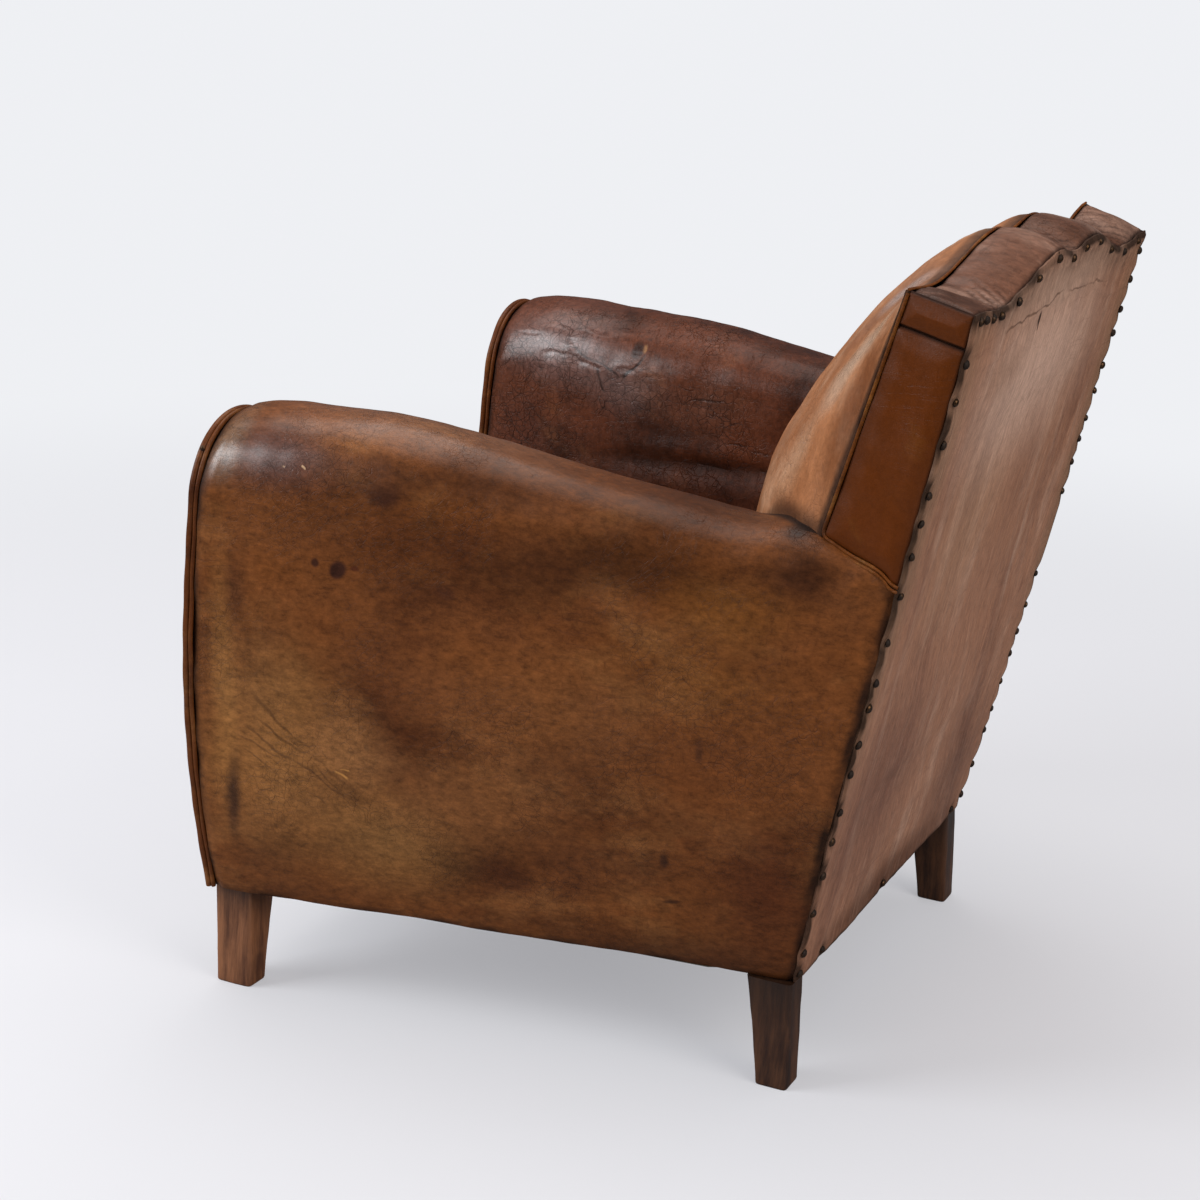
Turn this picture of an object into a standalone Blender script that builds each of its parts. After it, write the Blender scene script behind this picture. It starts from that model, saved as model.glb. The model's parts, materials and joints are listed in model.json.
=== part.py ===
"""A worn leather club chair with a three-lobed back, built as its frame, springing, stuffing and covers.

Metres, +Z up. The chair faces -Y and its sitter's left is +X. The origin lies on the floor under the
middle of the chair's box.
"""

import math

import bmesh
import bpy
import numpy as np
from mathutils import Vector

# Overall sizes
WIDTH = 0.800  # outside the arms, at the front
DEPTH = 0.761  # front facings to the crests of the outer back
LEG_HEIGHT = 0.1117
BACK_LENGTH = 0.698  # up the outer back, from its bottom edge to a top corner
BACK_RAKE = math.radians(11.0)

# Arms
ARM_TOP = 0.634
ARM_WIDTH_FRONT = 0.160
ARM_WIDTH_REAR = 0.115
ARM_FALL = 0.12  # slope of the arm's top behind its highest stretch
ARM_ROUND_REAR = 0.032
ARM_SQUARE_FRONT = 2.1  # exponents of the arm's rounded top: 2 is a half circle, more is squarer
ARM_SQUARE_REAR = 3.0
SIDE_TUCK = 0.030  # how far the sides draw in at the bottom edge, in front
SIDE_TUCK_REAR = 0.043
SIDE_TUCK_TOP = 0.42
SIDE_TUCK_POWER = 2.2
ARM_NOSE_Y = -0.296  # the arm's crown drops in front of this
ARM_LEVEL_Y = -0.156  # and falls evenly behind this
ARM_DROP_Y = 0.144  # and faster behind this
RAKE_Z = 0.5  # the height at which leaned outlines keep their place
ARM_SEAM_UP = 0.46  # about how far up the back the arms meet its side edge

# Back
BACK_HALF_FOOT = 0.272
BACK_HALF_MID = 0.300
BACK_HALF_TOP = 0.328
BACK_EDGE = 0.069  # thickness of the back's edge at the top
BACK_EDGE_LOW = 0.089
BACK_CROWN = 0.125  # how far the inside back swells in front of its seam
CREST = 0.026
CENTRE_DIP = 0.008
VALLEY = 0.006
CREST_AT = 0.19  # shares of the half width from the centre
VALLEY_AT = 0.72
SEAM_CLEAR = 0.001  # between the inside back and the strips round its seam
SEAM_INSET = 0.20  # how much the edge narrows towards the front seam, per metre of thickness

# Seat
SEAT_CUSHION_TOP = 0.405
SEAT_CUSHION_CROWN = 0.020
SEAT_CUSHION_CLEAR = 0.003  # to the inside back

# Stock
GAP = 0.0003
LEATHER = 0.003
PANEL = 0.0025
RAIL_THICK = 0.025
RAIL_HEIGHT = 0.090
RAIL_LIFT = 0.006  # rails start this far above the covers' bottom edge
REAR_RAIL_DROP = 0.0013  # the raked rear rail is set lower, down to the webbing
POST = 0.035
BACK_FRAME = 0.045
TOP_RAIL_HEIGHT = 0.085
TOP_RAIL_CLEAR = 0.0023  # to the strip over it
BACK_TACK_RAIL_UPS = (0.20, 0.245)
ARM_RAIL_THICK = 0.022
ARM_RAIL_HALF = 0.030
ARM_PAD = 0.058
STUFFING_CLEAR = 0.001
BACK_PAD_FOOT = 0.17  # up the outer back
BACK_PAD_RIM = 0.005  # the back stuffing stays this far inside its edges
BACK_ROWS, BACK_COLUMNS = 12, 21  # points over the inside back
ARM_STATIONS = 13  # outlines along the arm's full wrap
WALL_SIDES, WALL_TURNS = 6, 5  # points up the outer wall, and round the top as far as the back
INNER_PAD = 0.018
TACK_RAIL_TOP = 0.330
TACK_RAIL_HEIGHT = 0.040
TACK_RAIL_THICK = 0.022
WELT_RADIUS = 0.0055
FACING = 0.0137
FACING_CLEAR = 0.0012  # to the welt round it
WEBBING_WIDTH = 0.050
WEBBING = 0.002
WIRE_RADIUS = 0.0018
SPRING_RADIUS = 0.040
SPRING_WAIST = 0.028
SPRING_TURNS = 4
SPRING_HEIGHT = 0.155
SPRING_XS = (-0.14, 0.0, 0.14)
SPRING_YS = (-0.24, -0.09, 0.06)
SEAT_PAD = 0.036

# Legs: width across and depth along, at the top and at the foot
FRONT_LEG_TOP = (0.047, 0.038)
FRONT_LEG_FOOT = (0.031, 0.035)
REAR_LEG_TOP = (0.037, 0.043)
REAR_LEG_FOOT = (0.035, 0.034)
LEG_FOOT_BEVEL = 0.0015
FRONT_LEG_INSET = 0.016  # from the side's bottom edge
REAR_LEG_OUTSET = 0.013  # past the outer back's bottom corner
REAR_LEG_BEHIND = 0.002

# Places that follow from the sizes above
SKIRT = LEG_HEIGHT + GAP
UP = np.array([0.0, math.sin(BACK_RAKE), math.cos(BACK_RAKE)])
FORWARD = np.array([0.0, -math.cos(BACK_RAKE), math.sin(BACK_RAKE)])
BACK_FOOT = np.array([0.0, DEPTH / 2 - (BACK_LENGTH + CREST) * UP[1], SKIRT])
FACING_Y = -DEPTH / 2
COVER_Y = FACING_Y + FACING + GAP
RAIL_Z = SKIRT + RAIL_LIFT
ARM_END = BACK_EDGE_LOW + 0.004  # the arms' full wrap stops this far in front of the outer back
BACK_PAD_REAR = PANEL + GAP + BACK_FRAME + GAP
ARM_END_Y = BACK_FOOT[1] + (RAKE_Z - SKIRT) * math.tan(BACK_RAKE) - ARM_END / math.cos(BACK_RAKE)
TOP_RAIL_LOW = BACK_LENGTH - TOP_RAIL_HEIGHT
POST_UPS = np.linspace(0.0, TOP_RAIL_LOW - GAP, 8)

LEFT, RIGHT = 1, -1
SIDES = {"left": LEFT, "right": RIGHT}

FINISHES = {
    "wood_leg": ((0.16, 0.075, 0.035), 0.45, 0.0),
    "wood_frame": ((0.52, 0.36, 0.20), 0.7, 0.0),
    "leather": ((0.23, 0.095, 0.035), 0.45, 0.0),
    "back_leather": ((0.42, 0.24, 0.14), 0.6, 0.0),
    "stuffing": ((0.50, 0.40, 0.26), 0.95, 0.0),
    "hessian": ((0.52, 0.42, 0.28), 0.95, 0.0),
    "spring_steel": ((0.35, 0.33, 0.31), 0.4, 1.0),
}


def clear_scene():
    for thing in list(bpy.data.objects):
        bpy.data.objects.remove(thing, do_unlink=True)


def finish(name):
    """The named material, made once."""
    if name in bpy.data.materials:
        return bpy.data.materials[name]
    colour, roughness, metallic = FINISHES[name]
    material = bpy.data.materials.new(name)
    material.use_nodes = True
    shader = material.node_tree.nodes["Principled BSDF"]
    shader.inputs["Base Color"].default_value = (*colour, 1.0)
    shader.inputs["Roughness"].default_value = roughness
    shader.inputs["Metallic"].default_value = metallic
    return material


def add_object(name, mesh_maker, material):
    """One named object from a bmesh, with its faces turned outwards."""
    bmesh.ops.recalc_face_normals(mesh_maker, faces=mesh_maker.faces)
    mesh = bpy.data.meshes.new(name)
    mesh_maker.to_mesh(mesh)
    mesh_maker.free()
    mesh.shade_smooth()
    mesh.set_sharp_from_angle(angle=math.radians(35))
    thing = bpy.data.objects.new(name, mesh)
    thing.data.materials.append(finish(material))
    bpy.context.collection.objects.link(thing)
    return thing


def loft(name, loops, material):
    """A solid skinned over loops of equally many points, with flat ends."""
    maker = bmesh.new()
    rings = [[maker.verts.new(Vector(point)) for point in loop] for loop in loops]
    count = len(rings[0])
    for here, there in zip(rings, rings[1:]):
        for i in range(count):
            j = (i + 1) % count
            maker.faces.new((here[i], here[j], there[j], there[i]))
    maker.faces.new(rings[0])
    maker.faces.new(rings[-1])
    return add_object(name, maker, material)


def shell(name, outer, inner, kept, material):
    """A closed skin between two grids of points, over the cells of the grid that are kept."""
    maker = bmesh.new()
    made = {}

    def corner(layer, row, column):
        key = (layer, row, column)
        if key not in made:
            made[key] = maker.verts.new(Vector((outer, inner)[layer][row][column]))
        return made[key]

    edges = {}
    for row, column in kept:
        ring = [(row, column), (row, column + 1), (row + 1, column + 1), (row + 1, column)]
        for layer in (0, 1):
            maker.faces.new([corner(layer, *place) for place in ring])
        for here, there in zip(ring, ring[1:] + ring[:1]):
            edges.setdefault(frozenset((here, there)), []).append((here, there))
    for pair in edges.values():
        if len(pair) == 1:
            here, there = pair[0]
            maker.faces.new([corner(0, *here), corner(0, *there), corner(1, *there), corner(1, *here)])
    return add_object(name, maker, material)


def box(name, low, high, material):
    """A block between two corners."""
    ring = [(low[0], low[1]), (high[0], low[1]), (high[0], high[1]), (low[0], high[1])]
    return loft(name, [[(x, y, z) for x, y in ring] for z in (low[2], high[2])], material)


def tube(name, path, radius, sides, material):
    """A round bar along a path of points, its rings kept square to the path."""
    path = np.asarray(path, float)
    along = np.gradient(path, axis=0)
    along /= np.linalg.norm(along, axis=1)[:, None]
    across = np.cross(along[0], [0.31, 0.87, 0.38])
    loops = []
    for centre, direction in zip(path, along):
        across = across - direction * (across @ direction)
        across /= np.linalg.norm(across)
        other = np.cross(direction, across)
        turns = np.linspace(0, 2 * math.pi, sides, endpoint=False)[:, None]
        loops.append(centre + radius * (np.cos(turns) * across + np.sin(turns) * other))
    return loft(name, loops, material)


def mirrored(points, side):
    return np.asarray(points) * np.array([side, 1.0, 1.0])


def soft_ramp(distance, reach):
    """Zero far below nought and the distance itself far above it, with a smooth turn between."""
    return (np.sqrt(distance * distance + reach * reach) + distance) / 2


def back_point(x, up, forward):
    """A point of the back, from its place across, its length up the outer face and its depth forward."""
    return BACK_FOOT + np.array([x, 0.0, 0.0]) + up * UP + forward * FORWARD


def back_plane_y(z, forward=0.0):
    """Where the back's outer face, moved forward, stands at a height."""
    return BACK_FOOT[1] + (z - SKIRT) * math.tan(BACK_RAKE) - forward / math.cos(BACK_RAKE)


def back_half_width(up):
    """Half width of the outer back: drawn in at the foot, then widening evenly to the top."""
    rise = up / BACK_LENGTH
    foot_draw = (BACK_HALF_MID - BACK_HALF_FOOT) * math.exp(-rise / 0.12)
    return BACK_HALF_MID + (BACK_HALF_TOP - BACK_HALF_MID) * rise - foot_draw


def lobes(share):
    """Height of the three-lobed top edge above its corners, at a share of the half width."""
    share = abs(share)
    if share < CREST_AT:
        return CREST - CENTRE_DIP * (1 + math.cos(math.pi * share / CREST_AT)) / 2
    if share < VALLEY_AT:
        fall = (share - CREST_AT) / (VALLEY_AT - CREST_AT)
        return -VALLEY + (CREST + VALLEY) * (1 + math.cos(math.pi * fall)) / 2
    rise = (share - VALLEY_AT) / (1 - VALLEY_AT)
    return -VALLEY * (1 + math.cos(math.pi * rise)) / 2


def top_edge(x):
    return BACK_LENGTH + lobes(min(1.0, abs(x) / BACK_HALF_TOP))


def edge_depth(up):
    """Thickness of the back's side edge, which widens downwards."""
    fall = min(1.0, max(0.0, (BACK_LENGTH - up) / 0.24))
    return BACK_EDGE + (BACK_EDGE_LOW - BACK_EDGE) * fall


def side_half_width(y):
    """Half width outside the arms at a distance along the chair, at mid height."""
    rear = back_half_width((RAKE_Z - SKIRT) / math.cos(BACK_RAKE))
    share = (y - FACING_Y) / (back_plane_y(RAKE_Z) - FACING_Y)
    return WIDTH / 2 + (rear - WIDTH / 2) * share


def tuck(z, y):
    """How far the side has drawn in at a height, from nothing at mid height to its most at the bottom."""
    share = (y - FACING_Y) / (back_plane_y(RAKE_Z) - FACING_Y)
    most = SIDE_TUCK + (SIDE_TUCK_REAR - SIDE_TUCK) * share
    return most * np.clip((SIDE_TUCK_TOP - z) / (SIDE_TUCK_TOP - SKIRT), 0, None) ** SIDE_TUCK_POWER


def arm_half(y):
    share = (y - FACING_Y) / (back_plane_y(RAKE_Z) - FACING_Y)
    return (ARM_WIDTH_FRONT + (ARM_WIDTH_REAR - ARM_WIDTH_FRONT) * share) / 2


def arm_top(y):
    """Height of the arm's crown: level in front, falling evenly, dropping at the back and at the nose."""
    rear_drop = 0.75 * max(0.0, y - ARM_DROP_Y) ** 2
    nose_drop = 2.0 * max(0.0, ARM_NOSE_Y - y) ** 2
    return ARM_TOP - ARM_FALL * soft_ramp(y - ARM_LEVEL_Y, 0.08) - rear_drop - nose_drop


def arm_round(y):
    """Height of the arm's rounded top above its shoulders, and how square that top is."""
    share = min(1.0, max(0.0, (y - FACING_Y) / DEPTH))
    height = ARM_WIDTH_FRONT / 2 + (ARM_ROUND_REAR - ARM_WIDTH_FRONT / 2) * share
    return height, ARM_SQUARE_FRONT + (ARM_SQUARE_REAR - ARM_SQUARE_FRONT) * share


def rounded_top(y, inset, turn):
    """Points of the arm's rounded top at the given turns, from its outer side over to its inner side."""
    height, square = arm_round(y)
    half = arm_half(y)
    cosine, sine = np.cos(turn), np.sin(turn)
    x = side_half_width(y) - half + (half - inset) * np.sign(cosine) * np.abs(cosine) ** (2 / square)
    z = arm_top(y) - height + (height - inset) * np.abs(sine) ** (2 / square)
    return x, z


def back_side_x(y):
    """Where the back's side edge stands above the arm, at a place along the chair."""
    forward = (back_plane_y(RAKE_Z) - y) * math.cos(BACK_RAKE)
    return side_edge_x(ARM_SEAM_UP, min(max(forward, 0.0), ARM_END))


def wall_end_turn(y):
    """How far round the arm's top the outer wall runs before it meets the back's side edge."""
    half = arm_half(y)
    reach = (back_side_x(y) - (side_half_width(y) - half)) / half
    return math.acos(min(0.98, max(0.0, reach)) ** (arm_round(y)[1] / 2))


def wrap_turns(y):
    """Turns at which every layer of the arm's top is sampled, one of them where the outer wall ends."""
    end = wall_end_turn(y)
    return np.concatenate([np.linspace(0, end, WALL_TURNS), np.linspace(end, math.pi, 11)[1:]])


def arm_outline(y, inset, foot, inner_foot):
    """The arm's outline across the chair: outer foot, up, over the round top and down to the inner foot.

    The inset draws every point in by the same amount, as the next layer down needs.
    """
    half = arm_half(y) - inset
    centre = side_half_width(y) - arm_half(y)
    shoulder = arm_top(y) - arm_round(y)[0]
    outer_z = np.linspace(foot, shoulder, WALL_SIDES, endpoint=False)
    inner_z = np.linspace(shoulder, inner_foot, 5)[1:]
    top_x, top_z = rounded_top(y, inset, wrap_turns(y))
    x = np.concatenate([centre + half - tuck(outer_z, y), top_x, centre - half + 0 * inner_z])
    z = np.concatenate([outer_z, top_z, inner_z])
    return np.column_stack([x, np.full(len(x), y), z])


def raked(points):
    """Leans an upright outline towards the back's rake: not at all in front, wholly beside the back."""
    lean = points.copy()
    share = np.clip((points[:, 1] - COVER_Y) / (ARM_END_Y - COVER_Y), 0, 1)
    lean[:, 1] += share * (points[:, 2] - RAKE_Z) * math.tan(BACK_RAKE)
    return lean


def upright_y(y, z):
    """The place along the arm whose outline, once leaned, passes through y at height z."""
    if y <= COVER_Y:
        return y
    lean = (z - RAKE_Z) * math.tan(BACK_RAKE)
    if y - lean >= ARM_END_Y:
        return y - lean
    slope = lean / (ARM_END_Y - COVER_Y)
    return (y + COVER_Y * slope) / (1 + slope)


def arm_floor(y):
    """Underside of the arm's stuffing."""
    return arm_top(y) - max(ARM_PAD, arm_round(y)[0] + STUFFING_CLEAR)


def inner_face(y):
    """Half width between the arms' inner faces."""
    return side_half_width(y) - 2 * arm_half(y)


def arm_stations():
    """Places along the arm's full wrap, from the front to just before the back's side edge."""
    return np.linspace(COVER_Y, ARM_END_Y, ARM_STATIONS)


def arm_cover(side_name, side):
    """The leather over one arm: a full wrap in front of the back, and the outer wall alone beside it."""
    inner_foot = TACK_RAIL_TOP - TACK_RAIL_HEIGHT
    beside = np.linspace(ARM_END_Y, back_plane_y(RAKE_Z, GAP + PANEL), 6)[1:]
    stations = [*arm_stations(), *beside]
    layers = []
    for inset in (0.0, LEATHER):
        layers.append([mirrored(raked(arm_outline(y, inset, SKIRT, inner_foot)), side) for y in stations])
    wall = WALL_SIDES + WALL_TURNS - 1
    kept = []
    for row in range(len(stations) - 1):
        columns = len(layers[0][0]) - 1 if row < ARM_STATIONS - 1 else wall
        kept += [(row, column) for column in range(columns)]
    return shell(f"arm_cover_{side_name}", layers[0], layers[1], kept, "leather")


def seam_height(y):
    """Height of the arm's leather where it meets the back's side edge, at a place along the chair."""
    _, height = rounded_top(y, 0.0, np.array([wall_end_turn(y)]))
    return float(height[0])


def arm_stuffing(side_name, side):
    """Hair and fibre over the arm rail, with a leg that hangs down the inside of the arm."""
    loops = []
    inset = LEATHER + STUFFING_CLEAR
    foot = TACK_RAIL_TOP + GAP
    for y in arm_stations():
        floor = arm_floor(y) - STUFFING_CLEAR
        top_x, top_z = rounded_top(y, inset, wrap_turns(y))
        inner = inner_face(y) + inset
        crown = np.column_stack([top_x, np.full(len(top_x), y), top_z])
        tail = [[inner, y, foot], [inner + INNER_PAD, y, foot], [inner + INNER_PAD, y, floor]]
        loops.append(mirrored(raked(np.vstack([[[top_x[0], y, floor]], crown, tail])), side))
    return loft(f"arm_stuffing_{side_name}", loops, "stuffing")


def arm_keep_out(side_name, side):
    """A hidden block the size of the arm, that the back's cushioning is cut round."""
    foot = SKIRT + 0.05
    loops = []
    for y in [*arm_stations(), back_plane_y(RAKE_Z, PANEL)]:
        loops.append(mirrored(raked(arm_outline(y, -2 * GAP, foot, foot)), side))
    cutter = loft(f"cut_arm_{side_name}", loops, "leather")
    cutter.hide_render = True
    cutter.display_type = "WIRE"
    return cutter


def arm_rail(side_name, side):
    """The beech rail under the arm's stuffing, from the front to the back post."""
    loops = []
    for y in [*arm_stations(), back_plane_y(RAKE_Z, BACK_PAD_REAR)]:
        centre = side_half_width(y) - arm_half(y)
        high = arm_floor(y) - STUFFING_CLEAR - GAP
        low = high - ARM_RAIL_THICK
        ring = [
            [centre - ARM_RAIL_HALF, y, low],
            [centre + ARM_RAIL_HALF, y, low],
            [centre + ARM_RAIL_HALF, y, high],
            [centre - ARM_RAIL_HALF, y, high],
        ]
        loops.append(mirrored(raked(np.array(ring)), side))
    return loft(f"arm_rail_{side_name}", loops, "wood_frame")


def arm_tack_rail(side_name, side):
    """The lower rail that the inside arm's leather is tacked to, between the front post and the back."""
    loops = []
    low, high = TACK_RAIL_TOP - TACK_RAIL_HEIGHT, TACK_RAIL_TOP
    start = upright_y(COVER_Y + POST + GAP, low)
    for y in (start, ARM_END_Y, back_plane_y(RAKE_Z, PANEL + RAIL_THICK + 2 * GAP)):
        inner = inner_face(y) + LEATHER + GAP
        ring = [
            [inner, y, low],
            [inner + TACK_RAIL_THICK, y, low],
            [inner + TACK_RAIL_THICK, y, high],
            [inner, y, high],
        ]
        loops.append(mirrored(raked(np.array(ring)), side))
    return loft(f"arm_tack_rail_{side_name}", loops, "wood_frame")


def post_inner_x():
    """Inner side of the arm's front post, just outside the stuffing on the arm's inner face."""
    return inner_face(COVER_Y) + LEATHER + STUFFING_CLEAR + INNER_PAD + GAP


def arm_post(side_name, side):
    """The upright at the front of the arm, standing on the front leg."""
    inner = post_inner_x()
    outer = side_rail_outer(COVER_Y + POST, SKIRT)
    high = arm_floor(COVER_Y) - STUFFING_CLEAR - 2 * GAP - ARM_RAIL_THICK
    low_corner = (min(side * inner, side * outer), COVER_Y, SKIRT)
    high_corner = (max(side * inner, side * outer), COVER_Y + POST, high)
    return box(f"arm_post_{side_name}", low_corner, high_corner, "wood_frame")


def arm_facing(side_name, side):
    """The padded leather panel that closes the front of the arm, inside its welt."""
    ring = arm_outline(COVER_Y, 2 * WELT_RADIUS + FACING_CLEAR, SKIRT, SKIRT)
    loops = []
    for y, shrink in ((FACING_Y, 0.004), (FACING_Y + 0.003, 0.0), (FACING_Y + FACING, 0.0)):
        loop = ring.copy()
        centre = loop.mean(axis=0)
        span = np.ptp(loop, axis=0)
        loop[:, 0] = centre[0] + (loop[:, 0] - centre[0]) * (1 - 2 * shrink / span[0])
        loop[:, 2] = centre[2] + (loop[:, 2] - centre[2]) * (1 - 2 * shrink / span[2])
        loop[:, 1] = y
        loops.append(mirrored(loop, side))
    return loft(f"arm_facing_{side_name}", loops, "leather")


def arm_welt(side_name, side):
    """The piping round the arm's front, from the outer foot over the top to the inner foot."""
    path = arm_outline(COVER_Y, WELT_RADIUS, SKIRT, SKIRT)
    path[:, 1] = COVER_Y - WELT_RADIUS - GAP
    return tube(f"arm_welt_{side_name}", mirrored(path, side), WELT_RADIUS, 6, "leather")


def leg(name, corner, side, top, foot):
    """A square leg, tapered on its inner faces, from its outer rear corner."""
    middle = tuple((a + b) / 2 - 0.001 for a, b in zip(top, foot))
    loops = []
    for z, (across, along), bevel in (
        (0.0, foot, LEG_FOOT_BEVEL),
        (LEG_FOOT_BEVEL, foot, 0.0),
        (LEG_HEIGHT / 2, middle, 0.0),
        (LEG_HEIGHT, top, 0.0),
    ):
        x, y = corner
        near, far = y - bevel, y - along + bevel
        outer, inner = x - bevel, x - across + bevel
        ring = [[outer, near, z], [inner, near, z], [inner, far, z], [outer, far, z]]
        loops.append(mirrored(ring, side))
    return loft(name, loops, "wood_leg")


def make_legs():
    front_corner = (WIDTH / 2 - SIDE_TUCK - FRONT_LEG_INSET, COVER_Y + POST)
    rear_corner = (BACK_HALF_FOOT + REAR_LEG_OUTSET, BACK_FOOT[1] + REAR_LEG_BEHIND)
    for side_name, side in SIDES.items():
        leg(f"leg_front_{side_name}", front_corner, side, FRONT_LEG_TOP, FRONT_LEG_FOOT)
        leg(f"leg_rear_{side_name}", rear_corner, side, REAR_LEG_TOP, REAR_LEG_FOOT)


def post_outer(up):
    """The outer side of the back post, just inside the leather of the back's side edge."""
    sides = [side_edge_x(station, BACK_PAD_REAR) - PANEL - GAP for station in POST_UPS]
    return float(np.interp(up, POST_UPS, sides))


def make_back_frame():
    """Two raked posts, the three-lobed top rail and the tack rail above the seat."""
    behind = PANEL + GAP
    front = behind + BACK_FRAME
    for side_name, side in SIDES.items():
        loops = []
        for up in POST_UPS:
            outer = post_outer(up)
            ring = [
                back_point(outer, up, behind),
                back_point(outer - POST, up, behind),
                back_point(outer - POST, up, front),
                back_point(outer, up, front),
            ]
            loops.append(mirrored(ring, side))
        loft(f"back_post_{side_name}", loops, "wood_frame")
    reach = post_outer(TOP_RAIL_LOW)
    outline = [(x, top_edge(x) - PANEL - TOP_RAIL_CLEAR) for x in np.linspace(-reach, reach, 25)]
    outline += [(reach, TOP_RAIL_LOW), (-reach, TOP_RAIL_LOW)]
    loops = [[back_point(x, up, depth) for x, up in outline] for depth in (behind, front)]
    loft("back_top_rail", loops, "wood_frame")
    across_rail("back_tack_rail", *BACK_TACK_RAIL_UPS)
    rear_low = RAIL_LIFT - REAR_RAIL_DROP
    across_rail("seat_rail_rear", rear_low / UP[2], (rear_low + RAIL_HEIGHT) / UP[2])


def across_rail(name, low, high):
    """A flat rail between the two back posts."""
    behind = PANEL + GAP
    loops = []
    for up in (low, high):
        reach = post_outer(up) - POST - GAP
        front = behind + RAIL_THICK
        ring = [(reach, behind), (-reach, behind), (-reach, front), (reach, front)]
        loops.append([back_point(x, up, depth) for x, depth in ring])
    return loft(name, loops, "wood_frame")


def side_rail_outer(y, z):
    """How far out a rail or post may reach at a height, just inside the side's leather."""
    along = upright_y(y, z)
    return side_half_width(along) - float(tuck(z, along)) - LEATHER - 2 * STUFFING_CLEAR


def make_seat_rails():
    """The front rail between the arm posts and the two side rails, with a block in each corner."""
    reach = post_inner_x() - GAP
    low_corner = (-reach, COVER_Y, RAIL_Z)
    high_corner = (reach, COVER_Y + RAIL_THICK, RAIL_Z + RAIL_HEIGHT)
    box("seat_rail_front", low_corner, high_corner, "wood_frame")
    start = COVER_Y + POST + GAP
    for side_name, side in SIDES.items():
        loops = []
        for z_share in (0, 1):
            z = RAIL_Z + z_share * RAIL_HEIGHT
            end = back_plane_y(z, BACK_FRAME + 2 * GAP + PANEL)
            ring = []
            for y, offset in ((start, 0.0), (end, 0.0), (end, RAIL_THICK), (start, RAIL_THICK)):
                ring.append([side_rail_outer(y, RAIL_Z) - offset, y, z])
            loops.append(mirrored(ring, side))
        loft(f"seat_rail_{side_name}", loops, "wood_frame")
    make_corner_blocks()


def make_corner_blocks():
    """Glued triangular blocks that tie the rails together above the legs."""
    size = 0.060
    low, high = RAIL_Z + 0.012, RAIL_Z + 0.072
    front_y = COVER_Y + POST + GAP
    for side_name, side in SIDES.items():
        x_front = side_rail_outer(front_y + size, RAIL_Z) - RAIL_THICK - GAP
        ring = [[x_front, front_y], [x_front, front_y + size], [x_front - size, front_y]]
        loops = [mirrored([[x, y, z] for x, y in ring], side) for z in (low, high)]
        loft(f"corner_block_front_{side_name}", loops, "wood_frame")
        y_rear = back_plane_y(low, BACK_FRAME + 2 * GAP + PANEL) - GAP
        x_rear = side_rail_outer(y_rear, RAIL_Z) - RAIL_THICK - GAP
        ring = [[x_rear, y_rear], [x_rear - size, y_rear], [x_rear, y_rear - size]]
        loops = [mirrored([[x, y, z] for x, y in ring], side) for z in (low, high)]
        loft(f"corner_block_rear_{side_name}", loops, "wood_frame")


def make_webbing():
    """Jute strips under the seat rails: three along the chair, and three across below them."""
    long_top = RAIL_Z - GAP
    cross_top = long_top - WEBBING - GAP
    front_y = COVER_Y + 0.004
    rear_y = back_plane_y(RAIL_Z) - PANEL - 0.006
    for i, x in enumerate(SPRING_XS):
        low = (x - WEBBING_WIDTH / 2, front_y, long_top - WEBBING)
        box(f"seat_web_long_{i + 1}", low, (x + WEBBING_WIDTH / 2, rear_y, long_top), "hessian")
    for i, y in enumerate(SPRING_YS):
        reach = side_rail_outer(y + WEBBING_WIDTH / 2, SKIRT) - 0.002
        low = (-reach, y - WEBBING_WIDTH / 2, cross_top - WEBBING)
        box(f"seat_web_cross_{i + 1}", low, (reach, y + WEBBING_WIDTH / 2, cross_top), "hessian")


def make_springs():
    """Nine waisted coil springs in three rows, standing on the webbing, with half a turn flat at each end."""
    turns = np.linspace(0, SPRING_TURNS, SPRING_TURNS * 9 + 1)
    turn = turns * 2 * math.pi
    radius = SPRING_WAIST + (SPRING_RADIUS - SPRING_WAIST) * np.abs(2 * turns / SPRING_TURNS - 1) ** 1.5
    rise = np.clip((turns - 0.5) / (SPRING_TURNS - 1), 0, 1)
    height = RAIL_Z + GAP + WIRE_RADIUS + rise * (SPRING_HEIGHT - 2 * WIRE_RADIUS)
    number = 0
    for y in SPRING_YS:
        for x in SPRING_XS:
            number += 1
            path = np.column_stack([x + radius * np.cos(turn), y + radius * np.sin(turn), height])
            tube(f"seat_spring_{number}", path, WIRE_RADIUS, 5, "spring_steel")


def seat_layer(name, low, high, front_y, rear_y, crown, clear, material):
    """A flat layer of the seat between the arms, crowned on top by a dome that dies out at its edges."""
    count = 11
    top, bottom = [], []
    for v in np.linspace(-1, 1, count):
        y = (front_y + rear_y) / 2 + v * (rear_y - front_y) / 2
        half = inner_face(upright_y(y, low)) - clear
        for u in np.linspace(-1, 1, count):
            dome = crown * (1 - u ** 4) * (1 - v ** 4)
            top.append((u * half, y, high + dome))
            bottom.append((u * half, y, low))
    return grid_solid(name, top, bottom, count, count, material)


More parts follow.
